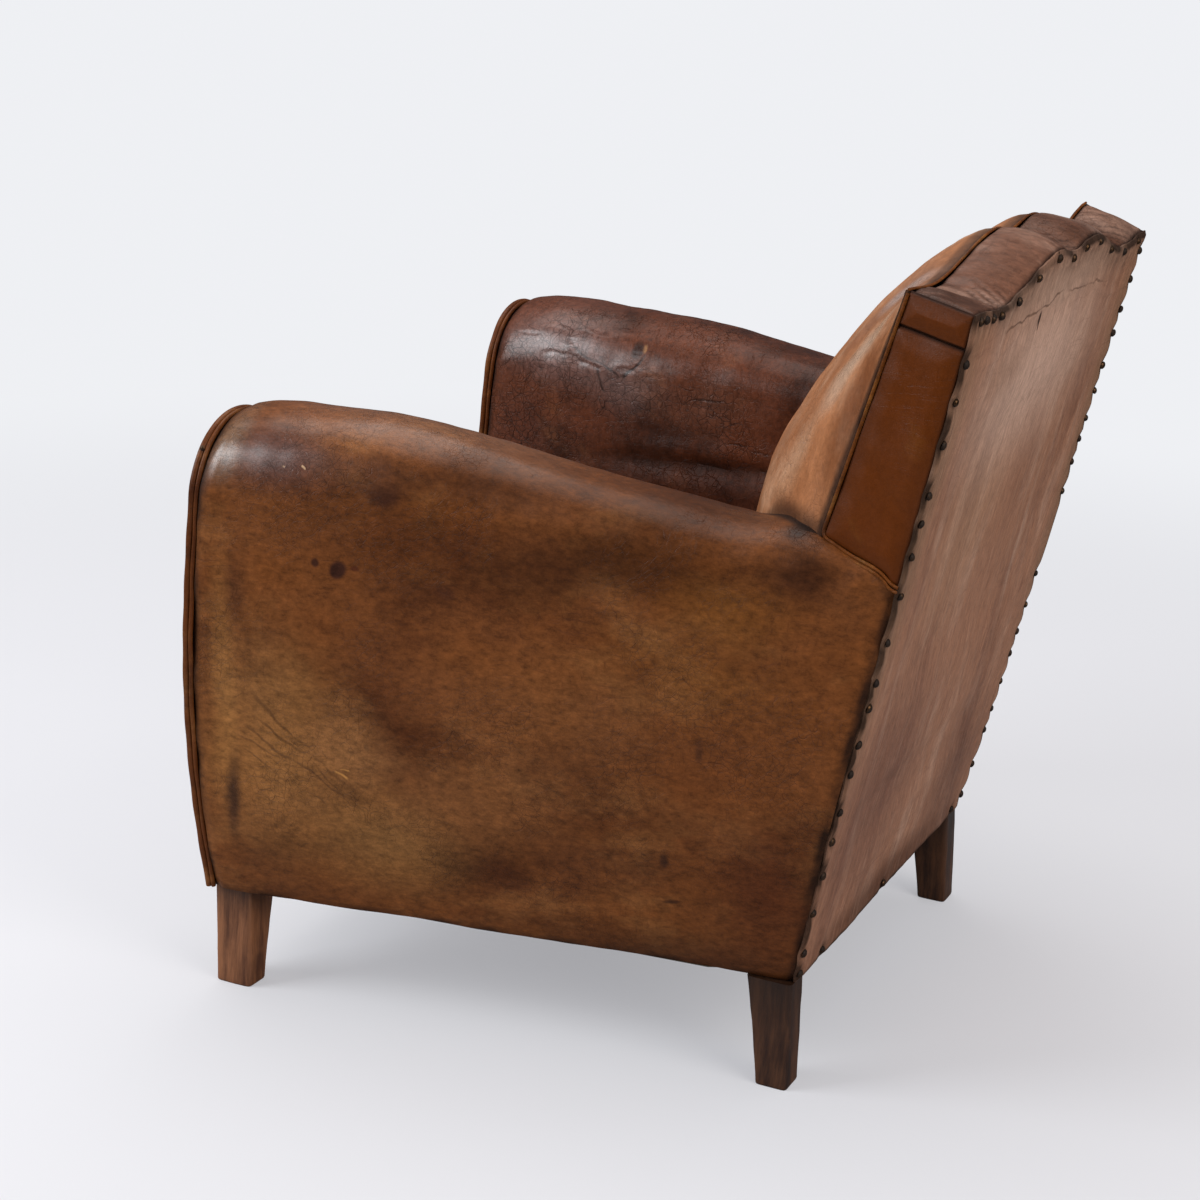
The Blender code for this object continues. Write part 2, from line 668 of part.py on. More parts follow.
def grid_solid(name, top, bottom, rows, columns, material):
    """A closed solid between two grids of points that share their rows and columns."""
    maker = bmesh.new()
    sheets = [[maker.verts.new(Vector(point)) for point in sheet] for sheet in (top, bottom)]
    for sheet in sheets:
        for r in range(rows - 1):
            for c in range(columns - 1):
                i = r * columns + c
                maker.faces.new((sheet[i], sheet[i + 1], sheet[i + columns + 1], sheet[i + columns]))
    rim = [c for c in range(columns)]
    rim += [r * columns + columns - 1 for r in range(1, rows)]
    rim += [(rows - 1) * columns + c for c in range(columns - 2, -1, -1)]
    rim += [r * columns for r in range(rows - 2, 0, -1)]
    for i, j in zip(rim, rim[1:] + rim[:1]):
        maker.faces.new((sheets[0][i], sheets[0][j], sheets[1][j], sheets[1][i]))
    return add_object(name, maker, material)


def make_seat():
    """Hessian over the springs, then the stuffing, its cover, the front border and the loose cushion."""
    front_y = COVER_Y + 0.002
    hessian_low = RAIL_Z + GAP + SPRING_HEIGHT + GAP
    pad_low = hessian_low + WEBBING + GAP
    deck_low = pad_low + SEAT_PAD + GAP
    cushion_low = deck_low + PANEL + GAP
    hessian_rear = back_plane_y(RAIL_Z + RAIL_HEIGHT, BACK_PAD_REAR)
    swell_depth = BACK_EDGE_LOW + SEAM_CLEAR + LEATHER + BACK_CROWN
    seat_rear = back_plane_y(cushion_low, swell_depth) - SEAT_CUSHION_CLEAR
    hessian_high = hessian_low + WEBBING
    seat_layer("seat_hessian", hessian_low, hessian_high, front_y, hessian_rear, 0.0, GAP, "hessian")
    seat_layer("seat_stuffing", pad_low, pad_low + SEAT_PAD, front_y, seat_rear, 0.0, 0.004, "stuffing")
    seat_layer("seat_deck_cover", deck_low, deck_low + PANEL, front_y, seat_rear, 0.0, 0.001, "leather")
    half = inner_face(COVER_Y) - GAP
    border_y = COVER_Y - GAP
    low_corner, high_corner = (-half, border_y - PANEL, SKIRT), (half, border_y, deck_low + PANEL)
    box("seat_front_border", low_corner, high_corner, "leather")
    top, crown = SEAT_CUSHION_TOP, SEAT_CUSHION_CROWN
    seat_layer("seat_cushion", cushion_low, top, FACING_Y + 0.006, seat_rear, crown, 0.0025, "leather")


def make_dust_cover():
    """The cloth tacked under the rails, cut back at its corners round the posts and legs."""
    high = RAIL_Z - 2 * (WEBBING + GAP) - GAP
    corner, front_corner, thick = 0.075, 0.140, 0.001
    front_y, rear_y = COVER_Y + 0.004, back_plane_y(RAIL_Z) - PANEL - 0.008
    front = side_rail_outer(front_y + front_corner, SKIRT) - 0.006
    rear = side_rail_outer(rear_y, SKIRT) - 0.006
    right = [
        (rear - corner, rear_y),
        (rear, rear_y - corner),
        (front, front_y + front_corner),
        (front - front_corner, front_y),
    ]
    outline = right + [(-x, y) for x, y in reversed(right)]
    loft("seat_dust_cover", [[(x, y, z) for x, y in outline] for z in (high - thick, high)], "hessian")


def side_edge_x(up, forward):
    """Half width of the back's side edge, which narrows a little towards its front seam."""
    return back_half_width(up) - SEAM_INSET * forward


def swell(x, up):
    """How far the inside back stands in front of its seam: flat across the middle, rolling off at its rim."""
    half = side_edge_x(up, edge_depth(up))
    across = 1 - min(1.0, abs(x) / half) ** 4
    drop = min(1.0, max(0.0, top_edge(x) - up) / 0.17)
    down = (1 - (1 - drop) ** 1.7) ** (1 / 1.7)
    return BACK_CROWN * across * down


def back_grid(rim, depth):
    """A grid of points over the inside back, from its foot up to the three-lobed top.

    Every point is drawn in from the outline by the rim, once its depth has been found.
    """
    points = []
    for v in np.linspace(0, 1, BACK_ROWS) ** 0.8:
        for turn in np.linspace(-math.pi / 2, math.pi / 2, BACK_COLUMNS):
            u = math.sin(turn)
            x = u * side_edge_x(BACK_LENGTH, BACK_EDGE)
            up = BACK_PAD_FOOT + v * (top_edge(x) - BACK_PAD_FOOT)
            x = u * side_edge_x(up, edge_depth(up))
            points.append(back_point(x - u * rim, up - v * rim, depth(x, up)))
    return points


def make_back_cushion(cutters):
    """The back's stuffing and the crowned leather over it, both cut round the arms."""
    front = back_grid(0.0, lambda x, up: edge_depth(up) + SEAM_CLEAR + LEATHER + swell(x, up))
    back = back_grid(0.0, lambda x, up: edge_depth(up) + SEAM_CLEAR + swell(x, up))
    cover = grid_solid("inside_back_cover", front, back, BACK_ROWS, BACK_COLUMNS, "leather")
    front = back_grid(BACK_PAD_RIM, lambda x, up: edge_depth(up) - 0.002 + 0.94 * swell(x, up))
    back = back_grid(BACK_PAD_RIM, lambda x, up: BACK_PAD_REAR)
    pad = grid_solid("back_stuffing", front, back, BACK_ROWS, BACK_COLUMNS, "stuffing")
    for piece in (cover, pad):
        for cutter in cutters:
            cut = piece.modifiers.new(f"clear_{cutter.name}", "BOOLEAN")
            cut.operation = "DIFFERENCE"
            cut.solver = "EXACT"
            cut.object = cutter


def side_panel(name, side, low_at, high_at):
    """Leather on the back's side edge, between two edges given as a height at each depth."""
    rows, columns = 6, 4
    sheets = []
    for inset in (0.0, PANEL):
        points = []
        for v in np.linspace(0, 1, rows):
            for u in np.linspace(0, 1, columns):
                up = 0.5 * BACK_LENGTH
                for _ in range(4):
                    forward = PANEL + GAP + u * (edge_depth(up) - PANEL - GAP)
                    low, high = low_at(forward), high_at(forward)
                    up = low + v * (high - low)
                x = side_edge_x(up, forward) - inset
                points.append(mirrored(back_point(x, up, forward), side))
        sheets.append(points)
    return grid_solid(name, sheets[0], sheets[1], rows, columns, "leather")


def arm_seam_up(forward):
    """How far up the back the arm's leather reaches, at a depth of the side edge."""
    up = ARM_SEAM_UP
    for _ in range(6):
        point = back_point(0.0, up, forward)
        up += (seam_height(upright_y(point[1], point[2])) - point[2]) / UP[2]
    return up + 2 * GAP


def make_back_skins():
    """The outer back, the leather of the side edges with its upper patch, and the lobed top strip."""
    patch_seam = BACK_LENGTH - 0.033
    for side_name, side in SIDES.items():
        side_panel(f"back_side_panel_{side_name}", side, arm_seam_up, lambda _: patch_seam)
        side_panel(f"back_upper_patch_{side_name}", side, lambda _: patch_seam + GAP, lambda _: BACK_LENGTH)
    outline = [(back_half_width(up), up) for up in np.linspace(0.0, BACK_LENGTH, 12)]
    xs = BACK_HALF_TOP * np.linspace(0.96, -0.96, 33)
    outline += [(x, top_edge(x)) for x in xs]
    outline += [(-back_half_width(up), up) for up in np.linspace(BACK_LENGTH, 0.0, 12)]
    loops = [[back_point(x, up, depth) for x, up in outline] for depth in (0.0, PANEL)]
    loft("outer_back_panel", loops, "back_leather")
    rows, columns = 37, 3
    sheets = []
    for inset in (0.0, PANEL):
        points = []
        for u in np.linspace(-1, 1, rows):
            for forward in np.linspace(PANEL + GAP, BACK_EDGE, columns):
                reach = side_edge_x(BACK_LENGTH, forward) - PANEL - GAP
                x = u * reach
                points.append(back_point(x, top_edge(x) - inset, forward))
        sheets.append(points)
    grid_solid("back_top_strip", sheets[0], sheets[1], rows, columns, "leather")


def main():
    clear_scene()
    make_legs()
    make_seat_rails()
    make_webbing()
    make_springs()
    make_dust_cover()
    make_seat()
    make_back_frame()
    make_back_skins()
    cutters = []
    for side_name, side in SIDES.items():
        arm_post(side_name, side)
        arm_rail(side_name, side)
        arm_tack_rail(side_name, side)
        arm_stuffing(side_name, side)
        arm_cover(side_name, side)
        arm_facing(side_name, side)
        arm_welt(side_name, side)
        cutters.append(arm_keep_out(side_name, side))
    make_back_cushion(cutters)


main()
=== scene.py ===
"""The looks of a worn leather club chair: its leather, welts, nails, loose cushion, legs and frame.

Metres, +Z up. The chair faces -Y and its sitter's left is +X. The sizes repeat those of the frame.
"""

import json
import logging
import math
from dataclasses import dataclass, field
from enum import Enum
from typing import Optional, Sequence

import bmesh
import bpy
import numpy as np
from mathutils import Matrix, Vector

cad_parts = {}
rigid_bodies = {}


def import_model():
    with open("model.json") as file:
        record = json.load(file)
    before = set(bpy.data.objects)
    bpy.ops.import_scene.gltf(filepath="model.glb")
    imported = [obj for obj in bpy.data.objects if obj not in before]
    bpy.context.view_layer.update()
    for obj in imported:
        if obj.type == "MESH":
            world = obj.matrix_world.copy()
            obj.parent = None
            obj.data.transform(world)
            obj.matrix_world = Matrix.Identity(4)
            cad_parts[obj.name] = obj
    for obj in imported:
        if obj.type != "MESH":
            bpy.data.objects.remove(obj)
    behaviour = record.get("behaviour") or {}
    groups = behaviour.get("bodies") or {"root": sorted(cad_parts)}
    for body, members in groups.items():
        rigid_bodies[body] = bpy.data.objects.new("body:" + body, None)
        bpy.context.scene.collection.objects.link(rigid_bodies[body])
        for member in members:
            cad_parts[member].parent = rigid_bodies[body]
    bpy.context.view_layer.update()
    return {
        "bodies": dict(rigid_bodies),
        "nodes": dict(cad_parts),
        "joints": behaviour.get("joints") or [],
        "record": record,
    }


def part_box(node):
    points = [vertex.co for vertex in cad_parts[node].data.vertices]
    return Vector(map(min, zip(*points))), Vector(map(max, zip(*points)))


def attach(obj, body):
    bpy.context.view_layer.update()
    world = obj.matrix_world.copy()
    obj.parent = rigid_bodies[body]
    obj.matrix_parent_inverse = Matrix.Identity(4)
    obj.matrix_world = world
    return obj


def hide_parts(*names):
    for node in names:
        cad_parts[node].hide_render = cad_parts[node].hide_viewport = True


log = logging.getLogger("club_chair")
Point = tuple[float, float, float]
Array = np.ndarray
Thing = bpy.types.Object
Socket = bpy.types.NodeSocket
BODY = "root"
DIRT_AND_SHADE = "soil"
SHARP_ANGLE = math.radians(50)
SIDEWAYS = np.array([1.0, 0.0, 0.0])
LENGTHWAYS = np.array([0.0, 1.0, 0.0])
UPRIGHT = np.array([0.0, 0.0, 1.0])
BLACK = (0.0, 0.0, 0.0, 1.0)
PALE = (0.86, 0.87, 0.9, 1.0)


class Side(Enum):
    """The sitter's left or right."""

    LEFT = 1
    RIGHT = -1

    @property
    def word(self) -> str:
        """The side's name as the nodes have it."""
        return self.name.lower()


class Slot(Enum):
    """The record's material slots."""

    LEG = "wood_leg"
    FRAME = "wood_frame"
    LEATHER = "leather"
    BACK = "back_leather"
    STUFFING = "stuffing"
    HESSIAN = "hessian"
    STEEL = "spring_steel"


def linear(code: str) -> tuple[float, float, float, float]:
    """Turns a web colour into linear light, by the sRGB curve.

    Args:
        code: six hexadecimal digits.
    Returns:
        Red, green, blue and alpha.
    """
    shares = [int(code[i : i + 2], 16) / 255 for i in (0, 2, 4)]
    light = [s / 12.92 if s < 0.04045 else ((s + 0.055) / 1.055) ** 2.4 for s in shares]
    return (light[0], light[1], light[2], 1.0)


def smooth(low: float, high: float, value: Array) -> Array:
    """Zero below low, one above high, which may be the smaller one, and a cubic turn between."""
    share = np.clip((value - low) / (high - low), 0, 1)
    return share * share * (3 - 2 * share)


def hump(value: Array, centre: float, width: float) -> Array:
    """A bell of height one round a centre."""
    return np.exp(-(((value - centre) / width) ** 2))


def signed_power(value: Array, power: Array) -> Array:
    """The value's size raised to a power, with the value's own sign."""
    return np.sign(value) * np.abs(value) ** power


def wobble(points: Array, wavelength: float, seed: int, waves: int = 7) -> Array:
    """Smooth unevenness: a sum of plane waves in random directions, about one in size.

    Args:
        points: places, with the coordinates last.
        wavelength: the waves' mean length.
        seed: which pattern.
        waves: how many are added.
    Returns:
        One number for each point.
    """
    draw = np.random.default_rng(seed)
    ways = draw.normal(size=(waves, 3))
    ways /= np.linalg.norm(ways, axis=1)[:, None]
    lengths = wavelength * draw.uniform(0.7, 1.5, waves)
    phases = points @ (ways.T * 2 * math.pi / lengths) + draw.uniform(0, 2 * math.pi, waves)
    return np.sin(phases).sum(axis=-1) / math.sqrt(waves)


@dataclass(frozen=True)
class Sink:
    """How far an arm's top has sunk: at its front, along it, at its rear and at the back's seam."""

    front: float
    along: float
    along_from: float
    along_to: float
    rear: float
    seam: float


SINKS = {
    Side.LEFT: Sink(0.0085, 0.0145, -0.26, 0.1, -0.017, -0.014),
    Side.RIGHT: Sink(-0.011, 0.003, -0.1, 0.05, 0.008, -0.008),
}


@dataclass(frozen=True)
class ChairForm:
    """The chair's sizes, and the formulas of its surfaces."""

    half_width: float = 0.4
    depth: float = 0.761
    skirt: float = 0.112
    back_length: float = 0.698
    rake: float = math.radians(11.0)
    rake_z: float = 0.5
    facing_depth: float = 0.014
    arm_crown: float = 0.634
    arm_width_front: float = 0.16
    arm_width_rear: float = 0.115
    arm_fall: float = 0.12
    arm_round_rear: float = 0.032
    arm_square_front: float = 2.1
    arm_square_rear: float = 3.0
    arm_level_y: float = -0.156
    arm_drop_y: float = 0.144
    arm_nose_y: float = -0.296
    tuck_front: float = 0.03
    tuck_rear: float = 0.043
    tuck_top: float = 0.42
    tuck_power: float = 2.2
    half_foot: float = 0.272
    half_mid: float = 0.3
    half_top: float = 0.328
    edge_top: float = 0.069
    edge_low: float = 0.089
    crown: float = 0.125
    crest: float = 0.026
    centre_dip: float = 0.008
    valley: float = 0.006
    crest_at: float = 0.19
    valley_at: float = 0.72
    seam_inset: float = 0.2
    arm_seam_up: float = 0.46
    pad_foot: float = 0.17
    inner_foot: float = 0.29
    wall_gap: float = 0.0028
    inside_gap_least: float = 0.0035
    crown_drop: float = 0.27
    foot_draw: float = 0.12
    edge_taper: float = 0.24
    arm_turn: float = 0.08
    arm_rear_bend: float = 0.75
    arm_nose_bend: float = 2.0
    front_swell: float = 0.0105
    front_swell_height: float = 0.485
    ear_rise: float = 0.012
    ear_from: float = -0.235
    ear_to: float = -0.305
    cushion_low: float = 0.3152
    cushion_top: float = 0.405

    @property
    def up_way(self) -> Array:
        """Along the outer back, upwards."""
        return np.array([0.0, math.sin(self.rake), math.cos(self.rake)])

    @property
    def forward_way(self) -> Array:
        """Square to the outer back, towards the seat."""
        return np.array([0.0, -math.cos(self.rake), math.sin(self.rake)])

    @property
    def front_y(self) -> float:
        """Foremost plane, of the arms' facings."""
        return -self.depth / 2

    @property
    def cover_y(self) -> float:
        """Front edge of the arms' leather."""
        return self.front_y + self.facing_depth

    @property
    def foot_y(self) -> float:
        """Where the outer back meets its bottom edge."""
        return self.depth / 2 - (self.back_length + self.crest) * math.sin(self.rake)

    @property
    def arm_end_y(self) -> float:
        """Where the arm's full wrap ends, at the rake's height."""
        return self.plane_y(self.rake_z, self.edge_low + 0.004)

    @property
    def wall_end_y(self) -> float:
        """Where the arm's outer wall ends at the outer back, at the rake's height."""
        return self.plane_y(self.rake_z, self.wall_gap)

    def plane_y(self, z: Array, forward: float = 0.0) -> Array:
        """Where the back's outer face, moved forward, stands at a height."""
        lean = (z - self.skirt) * math.tan(self.rake)
        return self.foot_y + lean - forward / math.cos(self.rake)

    def back(self, x: Array, up: Array, forward: Array) -> Array:
        """Points of the back: its foot, plus lengths across, up its face and forward."""
        x, up, forward = np.broadcast_arrays(x, up, forward)
        foot = np.stack([x, np.full(x.shape, self.foot_y), np.full(x.shape, self.skirt)], axis=-1)
        return foot + up[..., None] * self.up_way + forward[..., None] * self.forward_way

    def back_half(self, up: Array) -> Array:
        """Half width of the outer back: an even widening, less a draw at the foot that dies out upwards."""
        rise = up / self.back_length
        draw = (self.half_mid - self.half_foot) * np.exp(-rise / self.foot_draw)
        return self.half_mid + (self.half_top - self.half_mid) * rise - draw

    def top(self, x: Array) -> Array:
        """Height of the top edge: cosines from a dipped crest down to a valley and up to the corner."""
        share = np.clip(np.abs(x) / self.half_top, 0, 1)
        crest = self.crest - self.centre_dip * (1 + np.cos(math.pi * share / self.crest_at)) / 2
        fall = (share - self.crest_at) / (self.valley_at - self.crest_at)
        slope = -self.valley + (self.crest + self.valley) * (1 + np.cos(math.pi * fall)) / 2
        rise = (share - self.valley_at) / (1 - self.valley_at)
        corner = -self.valley * (1 + np.cos(math.pi * rise)) / 2
        height = np.where(share < self.crest_at, crest, np.where(share < self.valley_at, slope, corner))
        return self.back_length + height

    def edge_depth(self, up: Array) -> Array:
        """Thickness of the back's side edge, a straight widening downwards that then stops."""
        fall = np.clip((self.back_length - up) / self.edge_taper, 0, 1)
        return self.edge_top + (self.edge_low - self.edge_top) * fall

    def edge_x(self, up: Array, forward: Array) -> Array:
        """Half width of the back's side edge, which narrows forward."""
        return self.back_half(up) - self.seam_inset * forward

    def swell(self, x: Array, up: Array) -> Array:
        """How far the inside back stands proud: a power curve across times a rounded drop upwards."""
        half = self.edge_x(up, self.edge_depth(up))
        across = 1 - np.clip(np.abs(x) / half, 0, 1) ** 3
        drop = np.clip((self.top(x) - up) / self.crown_drop, 0, 1)
        return self.crown * across * (1 - (1 - drop) ** 1.5) ** (1 / 1.5)

    def bulge(self, z: Array) -> Array:
        """How far the arms' fronts swell forward: half a sine from the hem to near the top."""
        return self.front_swell * np.sin(math.pi * np.clip((z - self.skirt) / self.front_swell_height, 0, 1))

    def ear(self, x: Array, depth_share: Array) -> Array:
        """How far the top's right end has been pulled up, most at its front edge."""
        return self.ear_rise * smooth(self.ear_from, self.ear_to, x) * depth_share ** 1.5

    def share(self, y: Array) -> Array:
        """Share of the way from the front facings to the outer back."""
        return (y - self.front_y) / (self.plane_y(self.rake_z) - self.front_y)

    def side_half(self, y: Array) -> Array:
        """Half width outside the arms at mid height, a straight line along the chair."""
        rear = self.back_half((self.rake_z - self.skirt) / math.cos(self.rake))
        return self.half_width + (rear - self.half_width) * self.share(y)

    def tuck(self, z: Array, y: Array) -> Array:
        """How far the side draws in towards its bottom edge, as a power of the depth below mid height."""
        most = self.tuck_front + (self.tuck_rear - self.tuck_front) * self.share(y)
        below = np.clip((self.tuck_top - z) / (self.tuck_top - self.skirt), 0, None)
        return most * below ** self.tuck_power

    def arm_half(self, y: Array) -> Array:
        """Half the arm's width."""
        return (self.arm_width_front + (self.arm_width_rear - self.arm_width_front) * self.share(y)) / 2

    def inner_face(self, y: Array) -> Array:
        """Half width between the arms' inner faces."""
        return self.side_half(y) - 2 * self.arm_half(y)

    def arm_top(self, y: Array) -> Array:
        """Height of the arm's crown: level, then a soft turn to an even fall, with squares at each end."""
        past = y - self.arm_level_y
        fall = self.arm_fall * (np.sqrt(past * past + self.arm_turn ** 2) + past) / 2
        rear = self.arm_rear_bend * np.clip(y - self.arm_drop_y, 0, None) ** 2
        nose = self.arm_nose_bend * np.clip(self.arm_nose_y - y, 0, None) ** 2
        return self.arm_crown - fall - rear - nose

    def arm_round(self, y: Array) -> tuple[Array, Array]:
        """Height of the arm's rounded top, and the exponent of its superellipse."""
        share = np.clip((y - self.front_y) / self.depth, 0, 1)
        height = self.arm_width_front / 2 + (self.arm_round_rear - self.arm_width_front / 2) * share
        return height, self.arm_square_front + (self.arm_square_rear - self.arm_square_front) * share

    def slump(self, side: Side, y: Array, z: Array) -> Array:
        """How far an arm's stuffing has sunk at its top: the left one sinks, the right one still stands full.

        Args:
            side: which arm.
            y: places along the chair.
            z: heights, since the wall below stays where it is.
        Returns:
            The drop, which dies out where the arm meets the back.
        """
        sink = SINKS[side]
        most = sink.front + sink.along * smooth(sink.along_from, sink.along_to, y)
        most = most + sink.rear * smooth(0.15, 0.24, y) + sink.seam * smooth(0.265, 0.325, y)
        return most * smooth(0.3, 0.56, z)

    def wall_end_turn(self, y: Array) -> Array:
        """How far round the arm's top the outer wall runs before it meets the back's side edge."""
        forward = np.clip((self.plane_y(self.rake_z) - y) * math.cos(self.rake), 0, self.edge_low + 0.004)
        half = self.arm_half(y)
        reach = (self.edge_x(self.arm_seam_up, forward) - self.side_half(y) + half) / half
        return np.arccos(np.clip(reach, 0, 0.98) ** (self.arm_round(y)[1] / 2))

    def rounded_top(self, y: Array, inset: float, turn: Array) -> tuple[Array, Array]:
        """The arm's top as a superellipse: its half width and height times powers of cosine and sine.

        Args:
            y: places along the chair.
            inset: how far inside the leather's outer face.
            turn: angles from the outer side over to the inner side.
        Returns:
            The places across and the heights.
        """
        height, square = self.arm_round(y)
        half = self.arm_half(y)
        cosine, sine = np.cos(turn), np.sin(turn)
        across = signed_power(cosine, 2 / square)
        x = self.side_half(y) - half + (half - inset) * across
        return x, self.arm_top(y) - height + (height - inset) * np.abs(sine) ** (2 / square)

    def leaned(self, points: Array) -> Array:
        """Leans upright outlines towards the back's rake, by their share of the way to the back."""
        lean = points.copy()
        share = np.clip((points[..., 1] - self.cover_y) / (self.arm_end_y - self.cover_y), 0, 1)
        lean[..., 1] += share * (points[..., 2] - self.rake_z) * math.tan(self.rake)
        return lean

    def upright_y(self, y: Array, z: Array) -> Array:
        """The place along the arm whose leaned outline passes through y at height z."""
        lean = (z - self.rake_z) * math.tan(self.rake)
        slope = lean / (self.arm_end_y - self.cover_y)
        between = (y + self.cover_y * slope) / (1 + slope)
        behind = np.where(y - lean >= self.arm_end_y, y - lean, between)
        return np.where(y <= self.cover_y, y, behind)

    def seam_up(self, side: Side, forward: Array) -> Array:
        """How far up the back an arm's leather reaches, at a depth of its side edge, by repeated steps.

        Args:
            side: which arm.
            forward: depths from the outer back's face.
        Returns:
            Lengths up the back's face.
        """
        forward = np.asarray(forward, float)
        up = np.full(forward.shape, self.arm_seam_up)
        for _ in range(8):
            place = self.back(np.zeros(forward.shape), up, forward)
            along = self.upright_y(place[..., 1], place[..., 2])
            _, height = self.rounded_top(along, 0.0, self.wall_end_turn(along))
            sunk = height - self.slump(side, place[..., 1], place[..., 2])
            up = up + (sunk - place[..., 2]) / self.up_way[2]
        return up

    def inside_gap(self, points: Array) -> Array:
        """How far points stand in front of the inside back's face.

        Args:
            points: places in the chair's frame.
        Returns:
            Distances along the forward way, below nought where a point is buried in the back.
        """
        from_foot = points - np.array([0.0, self.foot_y, self.skirt])
        up, forward = from_foot @ self.up_way, from_foot @ self.forward_way
        return forward - self.edge_depth(up) - self.inside_gap_least - self.swell(points[..., 0], up)


FORM = ChairForm()


def cell_faces(rows: int, columns: int, kept: Optional[Array] = None) -> Array:
    """Corner numbers of a grid's cells, each taken round its cell.

    Args:
        rows: points down the grid.
        columns: points across it.
        kept: which cells are wanted, or all of them.
    Returns:
        Four corner numbers for each cell.
    """
    number = np.arange(rows * columns).reshape(rows, columns)
    quads = np.stack([number[:-1, :-1], number[:-1, 1:], number[1:, 1:], number[1:, :-1]], axis=-1)
    return quads[kept] if kept is not None else quads.reshape(-1, 4)


def shell_faces(rows: int, columns: int, kept: Optional[Array] = None) -> Array:
    """Faces of a closed skin between two grids: both sheets, and a rim wherever a kept cell has no neighbour.

    Args:
        rows: points down each grid.
        columns: points across it.
        kept: which cells are wanted, or all of them.
    Returns:
        Four corner numbers for each face.
    """
    kept = np.ones((rows - 1, columns - 1), bool) if kept is None else kept
    sheet = cell_faces(rows, columns, kept)
    below = rows * columns
    number = np.arange(below).reshape(rows, columns)
    padded = np.pad(kept, 1)
    faces = [sheet, sheet[:, ::-1] + below]
    sides = (
        (padded[:-2, 1:-1], number[:-1, :-1], number[:-1, 1:]),
        (padded[2:, 1:-1], number[1:, 1:], number[1:, :-1]),
        (padded[1:-1, :-2], number[1:, :-1], number[:-1, :-1]),
        (padded[1:-1, 2:], number[:-1, 1:], number[1:, 1:]),
    )
    for neighbour, here, there in sides:
        open_side = kept & ~neighbour
        a, b = here[open_side], there[open_side]
        faces.append(np.stack([b, a, a + below, b + below], axis=-1))
    return np.concatenate(faces)


def normals_of(grid: Array) -> Array:
    """Unit normals of a grid of points: the cross product of its two slopes."""
    along_rows, along_columns = np.gradient(grid, axis=0), np.gradient(grid, axis=1)
    normal = np.cross(along_rows, along_columns)
    return normal / np.maximum(np.linalg.norm(normal, axis=-1), 1e-12)[..., None]


def make_piece(
    name: str, points: Array, faces: Sequence, finish: "Finish", soil: Optional[Array] = None
) -> Thing:
    """One piece of the chair, from its points and faces, riding on the chair's body.

    Args:
        name: the piece's name.
        points: its vertices, in the chair's frame.
        faces: corner numbers of each face.
        finish: its finish.
        soil: how much dirt and painted shade lie at each vertex, from nought to one.
    Returns:
        The new object, with its faces turned outwards.
    """
    mesh = bpy.data.meshes.new(name)
    faces = faces.tolist() if isinstance(faces, Array) else faces
    mesh.from_pydata(np.asarray(points, float).reshape(-1, 3).tolist(), [], faces)
    if soil is not None:
        layer = mesh.attributes.new(DIRT_AND_SHADE, "FLOAT", "POINT")
        layer.data.foreach_set("value", np.clip(soil, 0, 1).ravel().astype(np.float32))
    maker = bmesh.new()
    maker.from_mesh(mesh)
    loose = [vert for vert in maker.verts if not vert.link_faces]
    bmesh.ops.delete(maker, geom=loose, context="VERTS")
    bmesh.ops.recalc_face_normals(maker, faces=maker.faces)
    maker.to_mesh(mesh)
    maker.free()
    mesh.shade_smooth()
    mesh.set_sharp_from_angle(angle=SHARP_ANGLE)
    piece = bpy.data.objects.new(name, mesh)
    bpy.context.collection.objects.link(piece)
    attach(piece, BODY)
    WARDROBE.dress(piece, finish)
    log.info("%s: %d points", name, len(mesh.vertices))
    return piece


def make_shell(
    name: str,
    outer: Array,
    inner: Array,
    finish: "Finish",
    kept: Optional[Array] = None,
    soil: Optional[Array] = None,
) -> Thing:
    """A closed skin between two grids of points.

    Args:
        name: the piece's name.
        outer: the outer sheet's points.
        inner: the inner sheet's points.
        finish: its finish.
        kept: which cells are wanted, or all of them.
        soil: how much dirt and painted shade lie at each point of the grid.
    Returns:
        The new object.
    """
    rows, columns = outer.shape[:2]
    points = np.concatenate([outer.reshape(-1, 3), inner.reshape(-1, 3)])
    soil = None if soil is None else np.tile(np.broadcast_to(soil, (rows, columns)).ravel(), 2)
    return make_piece(name, points, shell_faces(rows, columns, kept), finish, soil)


def swept_points(path: Array, lift: Array, profile: Array) -> Array:
    """Carries a flat profile along a path: one axis lies along the lift, the other square to it and the path.

    Args:
        path: the route's points.
        lift: for each point, the way that the profile's second axis leans.
        profile: pairs of widths and heights.
    Returns:
        Rings of points, one for each point of the path.
    """
    along = np.gradient(path, axis=0)
    along /= np.linalg.norm(along, axis=1)[:, None]
    across = np.cross(along, lift)
    across /= np.linalg.norm(across, axis=1)[:, None]
    rise = np.cross(across, along)
    return path[:, None] + profile[None, :, :1] * across[:, None] + profile[None, :, 1:] * rise[:, None]


def ring_faces(count: int, sides: int, offset: int = 0) -> list:
    """Faces of a closed bar: quads between neighbouring rings and a flat cap at each end."""
    number = np.arange(count * sides).reshape(count, sides) + offset
    turned = np.roll(number, -1, axis=1)
    quads = np.stack([number[:-1], turned[:-1], turned[1:], number[1:]], axis=-1).reshape(-1, 4)
    return quads.tolist() + [number[0].tolist(), number[-1].tolist()]


